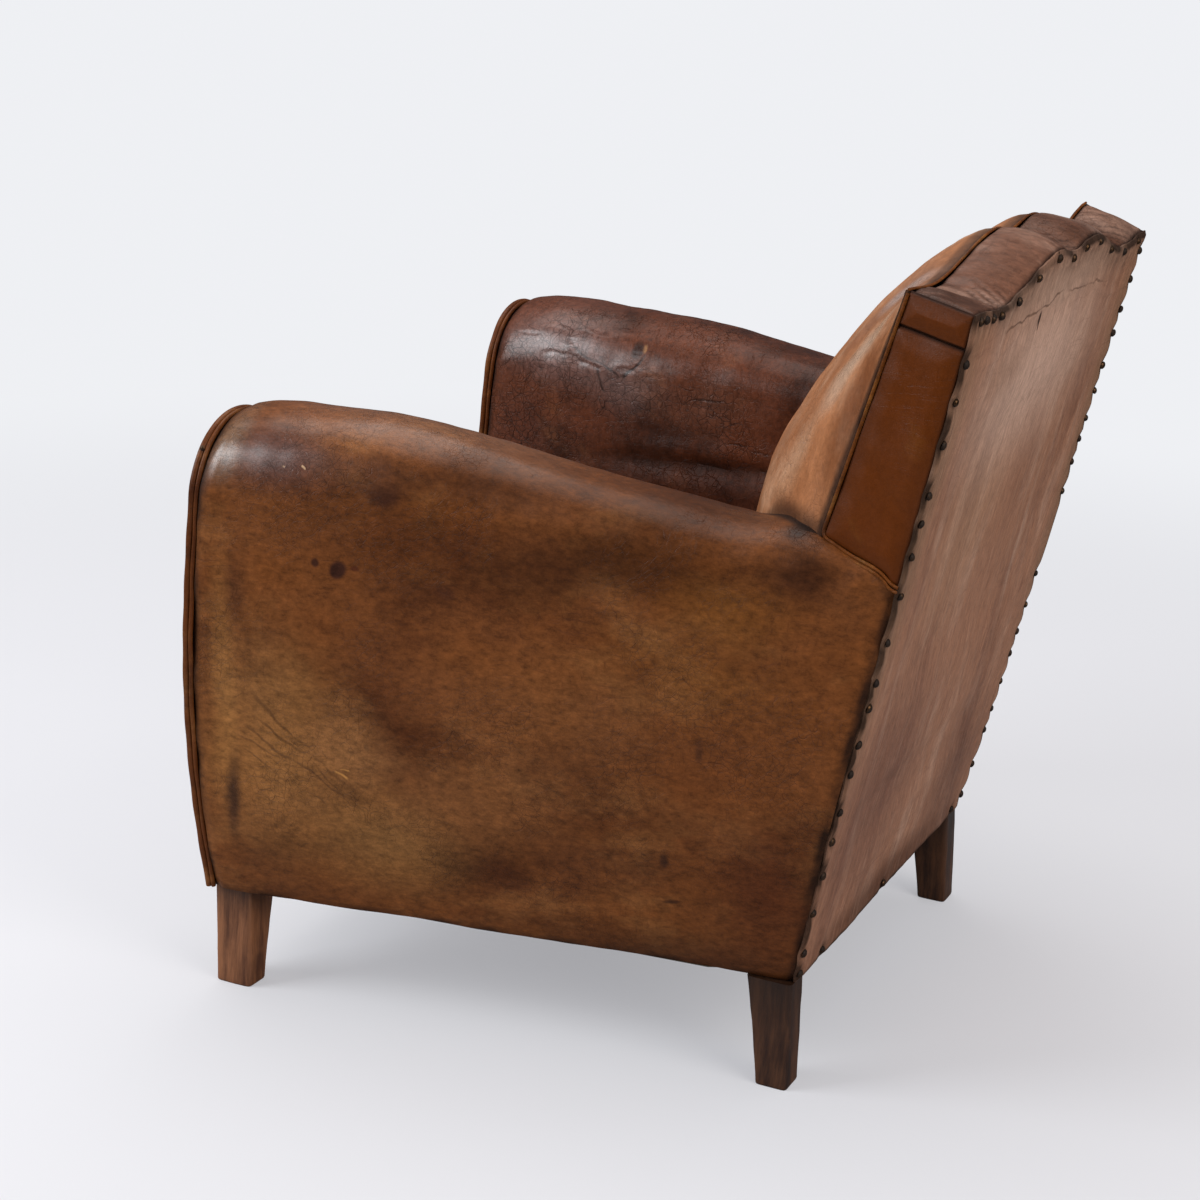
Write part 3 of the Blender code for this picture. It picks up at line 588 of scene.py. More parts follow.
def make_cords(
    name: str, paths: Sequence[tuple[Array, Array, Array]], finish: "Finish"
) -> Thing:
    """A piece of one or more bars, each given as its path, its lift and its profile.

    Args:
        name: the piece's name.
        paths: one path, lift and profile for each bar.
        finish: its finish.
    Returns:
        The new object.
    """
    points, faces, total = [], [], 0
    for path, lift, profile in paths:
        rings = swept_points(path, np.broadcast_to(lift, path.shape), profile)
        faces += ring_faces(rings.shape[0], rings.shape[1], total)
        total += rings.shape[0] * rings.shape[1]
        points.append(rings.reshape(-1, 3))
    return make_piece(name, np.concatenate(points), faces, finish)


def oval(width: float, height: float, sides: int = 12, square: float = 2.0) -> Array:
    """A superellipse profile of the given half width and half height."""
    turn = np.linspace(0, 2 * math.pi, sides, endpoint=False)
    x = width * signed_power(np.cos(turn), 2 / square)
    return np.stack([x, height * signed_power(np.sin(turn), 2 / square)], axis=-1)


def evened(path: Array, spacing: float, soften: int = 0) -> Array:
    """The same route with evenly spaced points, its corners rounded by averaging neighbours.

    Args:
        path: the route's points.
        spacing: the wanted distance between points.
        soften: how many times neighbours are averaged.
    Returns:
        The new points.
    """
    steps = np.linalg.norm(np.diff(path, axis=0), axis=1)
    length = np.concatenate([[0], np.cumsum(steps)])
    wanted = np.linspace(0, length[-1], max(4, int(length[-1] / spacing)))
    even = np.stack([np.interp(wanted, length, path[:, i]) for i in range(3)], axis=-1)
    for _ in range(soften):
        even[1:-1] = (even[:-2] + 2 * even[1:-1] + even[2:]) / 4
    return even


def mirrored(points: Array, side: Side) -> Array:
    """The points on the given side, from those of the left."""
    return points * np.array([side.value, 1.0, 1.0])


class Sock:
    """A shader socket that adds Math nodes when it is reckoned with."""

    def __init__(self, maker: "Paint", socket: Socket) -> None:
        """Keeps the socket and the material that it belongs to."""
        self.maker = maker
        self.socket = socket

    def __add__(self, other: "Sock | float") -> "Sock":
        """The sum."""
        return self.maker.math("ADD", self, other)

    def __sub__(self, other: "Sock | float") -> "Sock":
        """The difference."""
        return self.maker.math("SUBTRACT", self, other)

    def __rsub__(self, other: float) -> "Sock":
        """The difference from a number."""
        return self.maker.math("SUBTRACT", other, self)

    def __mul__(self, other: "Sock | float") -> "Sock":
        """The product."""
        return self.maker.math("MULTIPLY", self, other)

    __radd__ = __add__
    __rmul__ = __mul__


class Paint:
    """A material, or the world, under construction."""

    def __init__(self, name: str, world: Optional[bpy.types.World] = None) -> None:
        """Starts a material that has only its shader and its output, or starts from a world."""
        self.material = world or bpy.data.materials.new(name)
        self.material.use_nodes = True
        self.tree = self.material.node_tree
        self.shader = self.tree.nodes.get("Principled BSDF")
        self.coordinates = self.node("ShaderNodeTexCoord").outputs["Object"]

    def node(
        self, kind: str, settings: Optional[dict] = None, inputs: Optional[dict] = None
    ) -> bpy.types.Node:
        """Adds a node.

        Args:
            kind: the node's type.
            settings: its properties, which are set first.
            inputs: values or links of its sockets, by name or number.
        Returns:
            The new node.
        """
        made = self.tree.nodes.new(kind)
        for key, value in (settings or {}).items():
            setattr(made, key, value)
        for key, value in (inputs or {}).items():
            self.put(made.inputs[key], value)
        return made

    def put(self, socket: Socket, value: object) -> None:
        """Links a socket to another, or sets its value."""
        value = value.socket if isinstance(value, Sock) else value
        if isinstance(value, Socket):
            self.tree.links.new(value, socket)
        else:
            socket.default_value = value

    def math(self, operation: str, *values: "Sock | float") -> Sock:
        """A Math node on up to three values."""
        made = self.node("ShaderNodeMath", {"operation": operation}, dict(enumerate(values)))
        return Sock(self, made.outputs[0])

    def vector(self, operation: str, *values: object) -> Socket:
        """A Vector Math node's vector."""
        made = self.node("ShaderNodeVectorMath", {"operation": operation}, dict(enumerate(values)))
        return made.outputs["Vector"]

    def measure(self, operation: str, *values: object) -> Sock:
        """A Vector Math node's number."""
        made = self.node("ShaderNodeVectorMath", {"operation": operation}, dict(enumerate(values)))
        return Sock(self, made.outputs["Value"])

    def blend(
        self, share: "Sock | float", low: object, high: object, how: str = "MIX"
    ) -> Socket:
        """Mixes two colours.

        Args:
            share: how much of the second.
            low: the first colour.
            high: the second colour.
            how: the blend type.
        Returns:
            The mixed colour.
        """
        made = self.node("ShaderNodeMix", {"data_type": "RGBA", "blend_type": how})
        self.put(made.inputs[0], share)
        self.put(made.inputs[6], low)
        self.put(made.inputs[7], high)
        return made.outputs[2]

    def ramp(self, value: Sock, low: float, high: float) -> Sock:
        """Zero at low and one at high, with a smooth turn."""
        settings = {"interpolation_type": "SMOOTHSTEP"}
        made = self.node("ShaderNodeMapRange", settings, {0: value, 1: low, 2: high})
        return Sock(self, made.outputs[0])

    def stretched(self, scale: Point, place: Optional[object] = None) -> Socket:
        """Coordinates multiplied along each axis."""
        return self.vector("MULTIPLY", place or self.coordinates, scale)

    def noise(
        self, scale: float, detail: float = 3.0, place: Optional[object] = None, rough: float = 0.55
    ) -> Sock:
        """A noise from nought to one, of so many lumps a metre."""
        inputs = {"Vector": place or self.coordinates, "Scale": scale, "Detail": detail, "Roughness": rough}
        return Sock(self, self.node("ShaderNodeTexNoise", None, inputs).outputs["Fac"])

    def warped(self, scale: float, amount: float) -> Socket:
        """Coordinates pushed about by a noise."""
        inputs = {"Vector": self.coordinates, "Scale": scale, "Detail": 2.0}
        colour = self.node("ShaderNodeTexNoise", None, inputs).outputs["Color"]
        push = self.vector("MULTIPLY", self.vector("SUBTRACT", colour, (0.5, 0.5, 0.5)), (amount,) * 3)
        return self.vector("ADD", self.coordinates, push)

    def cracks(self, scale: float, width: float, place: object) -> Sock:
        """One on the borders between cells, of so many a metre, and nought inside them."""
        settings = {"feature": "DISTANCE_TO_EDGE"}
        made = self.node("ShaderNodeTexVoronoi", settings, {"Vector": place, "Scale": scale})
        return self.ramp(Sock(self, made.outputs["Distance"]), width, 0.0)

    def finish(self, colour: object, roughness: object, height: Sock, relief: float) -> bpy.types.Material:
        """Feeds the shader.

        Args:
            colour: the base colour.
            roughness: the roughness.
            height: the relief's pattern.
            relief: its depth in metres.
        Returns:
            The finished material.
        """
        self.put(self.shader.inputs["Base Color"], colour)
        self.put(self.shader.inputs["Roughness"], roughness)
        bump = self.node("ShaderNodeBump", None, {"Height": height, "Distance": relief, "Strength": 1.0})
        self.put(self.shader.inputs["Normal"], bump.outputs[0])
        return self.material


@dataclass(frozen=True)
class Mark:
    """A soft-edged patch of colour, used for stains, painted highlights and painted shade: an ellipsoid with
    a colour, and how polished it is.
    """

    at: Point
    size: Point
    colour: str
    strength: float
    core: float = 0.0
    polish: float = 0.0


@dataclass(frozen=True)
class Scratch:
    """A straight line between two points, dark or pale."""

    start: Point
    end: Point
    width: float
    colour: str
    strength: float


@dataclass(frozen=True)
class Leather:
    """Old leather: three colours in soft patches, fine mottling, hairline cracks, stains and scratches, with
    painted highlights and painted shade from some of its marks and from the vertex attribute.
    """

    name: str
    deep: str
    middle: str
    worn: str
    deep_share: float = 0.5
    worn_share: float = 0.5
    patch: float = 7.0
    stretch: Point = (1.0, 1.0, 1.0)
    rough: float = 0.42
    rough_spread: float = 0.16
    mottle: float = 0.8
    crack: float = 0.35
    crack_scale: float = 120.0
    streak: float = 0.0
    scuff: float = 0.35
    grain: float = 0.0003
    marks: tuple[Mark, ...] = ()
    scratches: tuple[Scratch, ...] = ()
    # Colour of the dark slits, and of the darkening from the vertex attribute, which is dirt and painted
    # shade.
    grime_and_shade: str = "1d0e07"
    specular: float = 0.16
    gloss: float = 0.5
    coat_rough: float = 0.27
    flat: Point = (1.0, 1.0, 1.0)

    def stained(self, paint: Paint, place: object, colour: object) -> tuple[object, Sock]:
        """Lays the marks over a colour: stains, painted highlights and painted shade.

        Args:
            paint: the material being made.
            place: warped coordinates, which make the marks' borders uneven.
            colour: the colour below.
        Returns:
            The marked colour and the polish.
        """
        polish = paint.math("MULTIPLY", 0.0, 0.0)
        for mark in self.marks:
            away = paint.vector("DIVIDE", paint.vector("SUBTRACT", place, mark.at), mark.size)
            away = paint.vector("MULTIPLY", away, self.flat)
            mask = paint.ramp(paint.measure("LENGTH", away), 1.0, mark.core)
            colour = paint.blend(mask * mark.strength, colour, linear(mark.colour))
            if mark.polish:
                polish = polish + mask * mark.polish
        return colour, polish

    def scratched(self, paint: Paint, place: object, colour: object) -> tuple[object, Sock]:
        """Lays the scratches over a colour.

        Args:
            paint: the material being made.
            place: slightly warped coordinates, which make the lines waver.
            colour: the colour below.
        Returns:
            The scratched colour and the scratches' mask.
        """
        cut = paint.math("MULTIPLY", 0.0, 0.0)
        for line in self.scratches:
            start, end = np.array(line.start), np.array(line.end)
            length = float(np.linalg.norm(end - start))
            way = (end - start) * np.array(self.flat)
            way = tuple((way / np.linalg.norm(way)).tolist())
            away = paint.vector("SUBTRACT", place, tuple(((start + end) / 2).tolist()))
            away = paint.vector("MULTIPLY", away, self.flat)
            along = paint.measure("DOT_PRODUCT", away, way)
            beside = paint.measure("LENGTH", paint.vector("CROSS_PRODUCT", away, way))
            ends = paint.ramp(paint.math("ABSOLUTE", along), length * 0.5, length * 0.35)
            mask = paint.ramp(beside, line.width, line.width * 0.2) * ends
            colour = paint.blend(mask * line.strength, colour, linear(line.colour))
            cut = cut + mask
        return colour, cut

    def streaked(self, paint: Paint, place: object, far: object, colour: object) -> object:
        """Draws fibres down a colour: dark and pale noise drawn out upright, and dark slits where it peaks.

        Args:
            paint: the material being made.
            place: slightly warped coordinates.
            far: coordinates moved away, so that the slits don't follow the fibres.
            colour: the colour below.
        Returns:
            The streaked colour.
        """
        run = paint.noise(42.0, 5.0, paint.stretched((8.0, 1.0, 0.7), place), 0.75)
        colour = paint.blend(paint.ramp(run, 0.5, 0.72) * self.streak, colour, linear(self.deep))
        pale = paint.noise(34.0, 5.0, paint.stretched((7.0, 1.0, 0.5), place), 0.7)
        colour = paint.blend(paint.ramp(pale, 0.5, 0.74) * self.streak * 0.8, colour, linear(self.worn))
        slit = paint.ramp(paint.noise(55.0, 3.0, paint.stretched((6.0, 1.0, 0.8), far), 0.6), 0.63, 0.69)
        slit = slit * paint.ramp(paint.noise(7.0, 3.0), 0.48, 0.62)
        return paint.blend(slit * 0.8, colour, linear(self.grime_and_shade))

    def material(self) -> bpy.types.Material:
        """Builds the leather.

        Returns:
            The material.
        """
        paint = Paint(self.name)
        place = paint.warped(9.0, 0.03)
        lying = paint.stretched(self.stretch, place)
        patches = paint.noise(self.patch, 6.0, lying, 0.62)
        deep = paint.ramp(patches, self.deep_share + 0.14, self.deep_share - 0.16)
        colour = paint.blend(deep * 0.85, linear(self.middle), linear(self.deep))
        far = paint.vector("ADD", lying, (3.1, 1.7, 5.3))
        rubbed = paint.noise(self.patch * 1.5, 7.0, far, 0.65)
        worn = paint.ramp(rubbed, self.worn_share - 0.06, self.worn_share + 0.18)
        colour = paint.blend(worn * 0.7, colour, linear(self.worn))
        colour, polish = self.stained(paint, place, colour)
        if self.streak:
            colour = self.streaked(paint, place, far, colour)
        fine = paint.noise(160.0, 6.0, paint.stretched(self.stretch), 0.78)
        blots = paint.noise(55.0, 5.0, far, 0.7)
        shade = 1.0 + (fine - 0.5) * (self.mottle * 2.8) + (blots - 0.5) * (self.mottle * 1.0)
        shade = paint.math("MAXIMUM", shade, 0.3)
        colour = paint.blend(1.0, colour, shade, "MULTIPLY")
        rubs = self.rubs(paint)
        colour = paint.blend(rubs * self.scuff, colour, linear(self.deep))
        hair = paint.cracks(self.crack_scale, 0.06, paint.warped(45.0, 0.012))
        veins = paint.cracks(self.crack_scale * 0.42, 0.022, paint.warped(28.0, 0.03))
        where = paint.math("MINIMUM", paint.ramp(paint.noise(10.0, 4.0), 0.44, 0.68) + polish * 0.6, 1.0)
        lines = paint.math("MAXIMUM", hair * 0.6, veins) * where
        colour = paint.blend(lines * self.crack, colour, linear(self.deep))
        colour, cut = self.scratched(paint, paint.warped(20.0, 0.024), colour)
        # Darkening from the vertex attribute: painted shade in creases, seams and gaps between parts, with
        # some dirt.
        darkening = Sock(paint, paint.node("ShaderNodeAttribute", {"attribute_name": DIRT_AND_SHADE}).outputs["Fac"])
        darkening = paint.math("MINIMUM", darkening * (0.6 + blots * 0.8), 1.0)
        colour = paint.blend(darkening * 0.9, colour, linear(self.grime_and_shade))
        patchy = paint.noise(15.0, 5.0, far)
        roughness = self.rough + (patchy - 0.5) * (self.rough_spread * 2) + (fine - 0.5) * 0.14
        roughness = paint.math("MAXIMUM", roughness - polish * 0.22 + lines * 0.15 + darkening * 0.25, 0.12)
        pores = paint.noise(620.0, 3.0) * 0.5 + fine * 0.7 + blots * 0.5
        height = pores - lines * (self.crack * 3.0) - cut * 0.8 - rubs * 0.4
        paint.put(paint.shader.inputs["Specular IOR Level"], self.specular)
        gloss = paint.math("MINIMUM", polish * 0.8 + (patchy - 0.4) * self.gloss, 1.0)
        paint.put(paint.shader.inputs["Coat Weight"], paint.math("MAXIMUM", gloss - darkening, 0.0))
        paint.put(paint.shader.inputs["Coat Roughness"], self.coat_rough)
        return paint.finish(colour, roughness, height, self.grain)

    def rubs(self, paint: Paint) -> Sock:
        """Fine scratches along two slopes: noise drawn out along one way and kept where it peaks.

        Args:
            paint: the material being made.
        Returns:
            The scratches' mask.
        """
        masks = []
        for long_way, off in (((1.0, 30.0, 420.0), 0.0), ((1.0, 300.0, 60.0), 7.0)):
            place = paint.vector("ADD", paint.stretched(long_way, paint.warped(5.0, 0.09)), (off, off, off))
            masks.append(paint.ramp(paint.noise(1.0, 4.0, place, 0.7), 0.56, 0.7))
        return paint.math("MAXIMUM", *masks) * paint.ramp(paint.noise(6.0, 4.0), 0.34, 0.66)


@dataclass(frozen=True)
class Wood:
    """Wood with its grain along one axis, darker towards one end and rubbed in patches."""

    name: str
    dark: str
    light: str
    stretch: Point = (60.0, 60.0, 5.0)
    rough: float = 0.5
    shadow_from: float = 0.0
    shadow_to: float = 0.0
    shadow: str = "1c0f08"

    def material(self) -> bpy.types.Material:
        """Builds the wood.

        Returns:
            The material.
        """
        paint = Paint(self.name)
        fibre = paint.noise(1.0, 6.0, paint.stretched(self.stretch, paint.warped(6.0, 0.01)), 0.7)
        colour = paint.blend(paint.ramp(fibre, 0.32, 0.68), linear(self.dark), linear(self.light))
        rubbed = paint.ramp(paint.noise(38.0, 4.0), 0.55, 0.72)
        colour = paint.blend(rubbed * 0.35, colour, linear(self.light))
        if self.shadow_to:
            height = paint.node("ShaderNodeSeparateXYZ", None, {0: paint.coordinates}).outputs[2]
            shaded = paint.ramp(Sock(paint, height), self.shadow_from, self.shadow_to)
            colour = paint.blend(shaded * 0.75, colour, linear(self.shadow))
        roughness = self.rough + (paint.noise(45.0, 3.0) - 0.5) * 0.2
        return paint.finish(colour, roughness, fibre + paint.noise(300.0, 2.0) * 0.3, 0.0004)


@dataclass(frozen=True)
class Weave:
    """Cloth or webbing: crossed threads, with dust and fading."""

    name: str
    thread: str
    darkening: str
    count: float = 900.0

    def material(self) -> bpy.types.Material:
        """Builds the cloth.

        Returns:
            The material.
        """
        paint = Paint(self.name)
        parts = paint.node("ShaderNodeSeparateXYZ", None, {0: paint.stretched((self.count * math.pi,) * 3)})
        warp = paint.math("SINE", parts.outputs[0])
        weft = paint.math("SINE", parts.outputs[1])
        threads = warp * weft
        dirty = paint.ramp(paint.noise(9.0, 5.0), 0.42, 0.7)
        colour = paint.blend(dirty * 0.7, linear(self.thread), linear(self.darkening))
        colour = paint.blend(1.0, colour, 0.9 + threads * 0.12, "MULTIPLY")
        return paint.finish(colour, 0.9 + threads * 0.05, threads, 0.0003)


@dataclass(frozen=True)
class Fibre:
    """Teased hair and wadding."""

    name: str
    light: str
    dark: str

    def material(self) -> bpy.types.Material:
        """Builds the stuffing's finish.

        Returns:
            The material.
        """
        paint = Paint(self.name)
        strands = paint.noise(140.0, 6.0, paint.warped(30.0, 0.03), 0.8)
        colour = paint.blend(paint.ramp(strands, 0.35, 0.65), linear(self.dark), linear(self.light))
        return paint.finish(colour, 0.95 + strands * 0.05, strands, 0.003)


@dataclass(frozen=True)
class Metal:
    """Dull metal with tarnish or rust in patches."""

    name: str
    bare: str
    tarnish: str
    rough: float = 0.4
    share: float = 0.5

    def material(self) -> bpy.types.Material:
        """Builds the metal.

        Returns:
            The material.
        """
        paint = Paint(self.name)
        spread = paint.ramp(paint.noise(120.0, 4.0), self.share - 0.1, self.share + 0.1)
        colour = paint.blend(spread, linear(self.bare), linear(self.tarnish))
        metallic = 1.0 - spread * 0.6
        paint.put(paint.shader.inputs["Metallic"], metallic)
        return paint.finish(colour, self.rough + spread * 0.3, paint.noise(400.0, 3.0), 0.0002)


SIDE_MARKS = (
    Mark((0.37, -0.12, 0.52), (0.1, 0.2, 0.075), "4c240b", 0.72),
    Mark((0.33, 0.15, 0.43), (0.1, 0.13, 0.075), "7a4a1c", 0.4),
    Mark((0.345, 0.075, 0.53), (0.09, 0.16, 0.05), "40200b", 0.78, 0.1),
    Mark((0.355, -0.02, 0.5), (0.08, 0.1, 0.05), "44230d", 0.62, 0.1),
    Mark((0.332, 0.235, 0.54), (0.07, 0.06, 0.04), "33190d", 0.75, 0.1),
    Mark((0.33, 0.17, 0.5), (0.07, 0.09, 0.045), "7d4c1b", 0.55),
    Mark((0.385, -0.285, 0.285), (0.09, 0.13, 0.17), "9d6b3b", 0.75),
    Mark((0.39, -0.345, 0.35), (0.06, 0.022, 0.17), "a8743f", 0.45, 0.1),
    Mark((0.37, -0.17, 0.2), (0.09, 0.12, 0.09), "986a3b", 0.65),
    Mark((0.36, -0.08, 0.26), (0.09, 0.14, 0.08), "8e5c34", 0.5),
    Mark((0.386, -0.334, 0.23), (0.05, 0.012, 0.075), "35221a", 0.8, 0.1),
    Mark((0.392, -0.33, 0.45), (0.05, 0.018, 0.045), "54301c", 0.6, 0.1),
    Mark((0.345, 0.01, 0.37), (0.09, 0.18, 0.09), "7f502c", 0.45),
    Mark((0.33, 0.15, 0.33), (0.09, 0.1, 0.11), "6f3d1b", 0.55),
    Mark((0.31, 0.215, 0.2), (0.09, 0.1, 0.12), "5a2d15", 0.7),
    Mark((0.32, 0.12, 0.125), (0.12, 0.2, 0.04), "3f2214", 0.65, 0.1),
    Mark((0.375, -0.177, 0.566), (0.03, 0.026, 0.018), "3a1f15", 0.85, 0.2),
    Mark((0.377, -0.195, 0.572), (0.03, 0.04, 0.014), "4a2a1a", 0.6, 0.1),
    Mark((0.38, -0.219, 0.484), (0.02, 0.011, 0.012), "3a1f16", 0.95, 0.55),
    Mark((0.383, -0.243, 0.488), (0.02, 0.006, 0.006), "3a1f16", 0.9, 0.4),
    Mark((0.378, -0.203, 0.487), (0.02, 0.007, 0.004), "4a2014", 0.7, 0.3),
    Mark((0.368, -0.112, 0.469), (0.02, 0.014, 0.01), "4f2a18", 0.6, 0.3),
    Mark((0.326, 0.117, 0.229), (0.02, 0.006, 0.012), "3b2216", 0.8, 0.3),
    Mark((0.318, 0.117, 0.184), (0.02, 0.012, 0.003), "3b2216", 0.8, 0.3),
    Mark((0.335, 0.149, 0.357), (0.02, 0.005, 0.016), "47291a", 0.6, 0.3),
    Mark((0.373, -0.185, 0.308), (0.02, 0.004, 0.006), "2f1b12", 0.9, 0.4),
    # Painted sheen and highlight at the arm's front corner, which is made glossier too.
    Mark((0.365, -0.29, 0.585), (0.09, 0.085, 0.05), "553a36", 0.75, 0.1, 0.7),
    Mark((0.38, -0.35, 0.59), (0.05, 0.03, 0.05), "7d6048", 0.7, 0.1, 1.2),
    Mark((0.34, -0.25, 0.632), (0.08, 0.12, 0.022), "804c2a", 0.6, 0.2, 0.6),
    # Painted sheen: pale, polished bands along the arm's top.
    Mark((0.285, -0.05, 0.62), (0.06, 0.34, 0.03), "7a553d", 0.5, 0.1, 0.5),
    Mark((0.28, 0.15, 0.594), (0.05, 0.12, 0.024), "6a4a30", 0.45, 0.1, 0.4),
    Mark((0.346, -0.08, 0.588), (0.05, 0.2, 0.03), "45230b", 0.78),
    Mark((0.32, 0.11, 0.574), (0.05, 0.13, 0.032), "3e1e09", 0.8),
    Mark((0.373, -0.205, 0.3), (0.06, 0.07, 0.075), "a26e42", 0.55),
    # Painted shade, with some dirt, in the crease where the arm runs under the inside back's lower corner.
    Mark((0.306, 0.222, 0.575), (0.035, 0.024, 0.012), "1a0d07", 0.85, 0.1),
)

FAR_MARKS = (
    # Painted sheen: pale, polished marks on the arm's front top.
    Mark((-0.236, -0.285, 0.6), (0.06, 0.11, 0.06), "8a716c", 0.6, 0.0, 1.3),
    Mark((-0.232, -0.19, 0.57), (0.06, 0.08, 0.05), "78605a", 0.6, 0.0, 1.2),
    Mark((-0.226, -0.08, 0.56), (0.06, 0.09, 0.05), "6b4636", 0.5, 0.0, 0.8),
    Mark((-0.23, -0.06, 0.465), (0.07, 0.22, 0.05), "3a1d12", 0.7, 0.0, -1.2),
    Mark((-0.238, -0.32, 0.5), (0.05, 0.05, 0.06), "5c3324", 0.6, 0.1, 0.3),
    Mark((-0.228, -0.168, 0.612), (0.02, 0.004, 0.006), "9a704a", 0.8, 0.4),
    Mark((-0.229, -0.176, 0.61), (0.02, 0.01, 0.012), "26140d", 0.8, 0.4),
)

SIDE_LINES = (
    Scratch((0.389, -0.318, 0.345), (0.366, -0.19, 0.248), 0.0032, "4a2e18", 0.55),
    Scratch((0.388, -0.312, 0.322), (0.368, -0.185, 0.236), 0.0024, "4a2e18", 0.6),
    Scratch((0.389, -0.33, 0.31), (0.372, -0.192, 0.24), 0.0022, "553620", 0.55),
    Scratch((0.388, -0.335, 0.296), (0.372, -0.215, 0.262), 0.0018, "553620", 0.45),
    Scratch((0.388, -0.328, 0.285), (0.372, -0.228, 0.232), 0.0018, "553620", 0.45),
    Scratch((0.388, -0.322, 0.372), (0.375, -0.262, 0.318), 0.002, "4a2e18", 0.4),
    Scratch((0.388, -0.336, 0.33), (0.375, -0.3, 0.352), 0.0018, "4a2e18", 0.4),
    Scratch((0.392, -0.35, 0.215), (0.385, -0.3, 0.185), 0.003, "3c281a", 0.55),
    Scratch((0.374, -0.221, 0.277), (0.373, -0.205, 0.27), 0.0022, "c98d4c", 0.85),
    Scratch((0.373, -0.214, 0.28), (0.373, -0.203, 0.279), 0.0016, "c98d4c", 0.75),
    Scratch((0.39, -0.289, 0.582), (0.389, -0.282, 0.579), 0.0013, "d8b088", 0.8),
    Scratch((0.387, -0.266, 0.581), (0.386, -0.259, 0.578), 0.0013, "d8b088", 0.8),
    Scratch((0.35, -0.02, 0.3), (0.345, 0.02, 0.285), 0.0014, "5a3a20", 0.5),
)

FAR_LINES = (
    Scratch((-0.235, -0.295, 0.625), (-0.231, -0.235, 0.585), 0.003, "1d0f0a", 0.8),
    Scratch((-0.231, -0.235, 0.585), (-0.229, -0.195, 0.578), 0.0026, "1d0f0a", 0.8),
    Scratch((-0.229, -0.195, 0.578), (-0.228, -0.17, 0.606), 0.0028, "1d0f0a", 0.85),
    Scratch((-0.231, -0.235, 0.585), (-0.23, -0.215, 0.556), 0.0022, "1d0f0a", 0.7),
    Scratch((-0.228, -0.17, 0.606), (-0.226, -0.135, 0.6), 0.002, "1d0f0a", 0.6),
    Scratch((-0.226, -0.11, 0.56), (-0.222, -0.06, 0.566), 0.002, "24130c", 0.6),
    Scratch((-0.222, -0.06, 0.52), (-0.219, 0.000, 0.512), 0.0024, "24130c", 0.6),
)

INSIDE_MARKS = (
    Mark((0.285, 0.26, 0.56), (0.05, 0.09, 0.05), "5a2f18", 0.6),
    # Painted highlights: pale, polished marks along the crown's near slope.
    Mark((0.24, 0.24, 0.73), (0.026, 0.14, 0.075), "e6c1a2", 0.65, 0.0, 1.0),
    Mark((0.228, 0.19, 0.62), (0.026, 0.12, 0.07), "d9ab86", 0.5, 0.0, 0.8),
    Mark((0.292, 0.24, 0.69), (0.036, 0.12, 0.11), "653316", 0.78),
    # Painted shade: darker marks towards the crown's silhouette.
    Mark((0.16, 0.18, 0.6), (0.045, 0.12, 0.1), "70401f", 0.75),
    Mark((0.175, 0.24, 0.75), (0.045, 0.12, 0.08), "7b4c34", 0.65),
    Mark((0.2, 0.26, 0.8), (0.14, 0.1, 0.035), "8a6552", 0.7),
    # Painted highlights: the sheen on the ridge near the top and on its slope below.
    Mark((0.176, 0.256, 0.785), (0.03, 0.12, 0.035), "d9c3b8", 0.6, 0.0, 0.8),
    Mark((0.23, 0.219, 0.697), (0.028, 0.1, 0.045), "e0b898", 0.45, 0.0, 0.6),
    Mark((0.25, 0.19, 0.578), (0.06, 0.06, 0.018), "5a2f18", 0.6),
)

BACK_MARKS = (
    Mark((0.00, 0.375, 0.79), (0.45, 0.05, 0.04), "8f7462", 0.6, 0.2),
    Mark((0.31, 0.33, 0.56), (0.05, 0.2, 0.4), "83664f", 0.6, 0.2),
    Mark((-0.31, 0.33, 0.56), (0.05, 0.2, 0.4), "83664f", 0.5, 0.2),
    Mark((0.1, 0.33, 0.56), (0.16, 0.2, 0.18), "ad8468", 0.5),
    Mark((0.02, 0.36, 0.7), (0.34, 0.12, 0.15), "dab6a3", 0.75),
    Mark((0.16, 0.27, 0.28), (0.22, 0.15, 0.19), "755042", 0.7),
    Mark((-0.18, 0.26, 0.2), (0.16, 0.15, 0.12), "654336", 0.6),
    Mark((0.00, 0.25, 0.125), (0.4, 0.05, 0.05), "54311f", 0.8, 0.1),
    Mark((0.08, 0.368, 0.757), (0.006, 0.02, 0.01), "33221a", 0.9, 0.4),
    Mark((0.16, 0.36, 0.72), (0.1, 0.03, 0.03), "9b7762", 0.5),
)

BACK_LINES = (
    Scratch((0.225, 0.371, 0.764), (0.000, 0.372, 0.772), 0.0022, "5f4636", 0.7),
    Scratch((0.000, 0.372, 0.772), (-0.215, 0.372, 0.764), 0.002, "5f4636", 0.6),
    Scratch((0.082, 0.368, 0.762), (0.078, 0.366, 0.742), 0.0022, "2c1c14", 0.9),
    Scratch((0.205, 0.355, 0.68), (0.2, 0.345, 0.63), 0.0014, "5a4030", 0.7),
    Scratch((0.18, 0.33, 0.56), (0.176, 0.32, 0.5), 0.0012, "5a4030", 0.6),
    Scratch((0.11, 0.33, 0.56), (0.12, 0.325, 0.53), 0.0012, "4a3326", 0.6),
    Scratch((0.06, 0.31, 0.44), (0.055, 0.3, 0.4), 0.0014, "4a3326", 0.6),
)


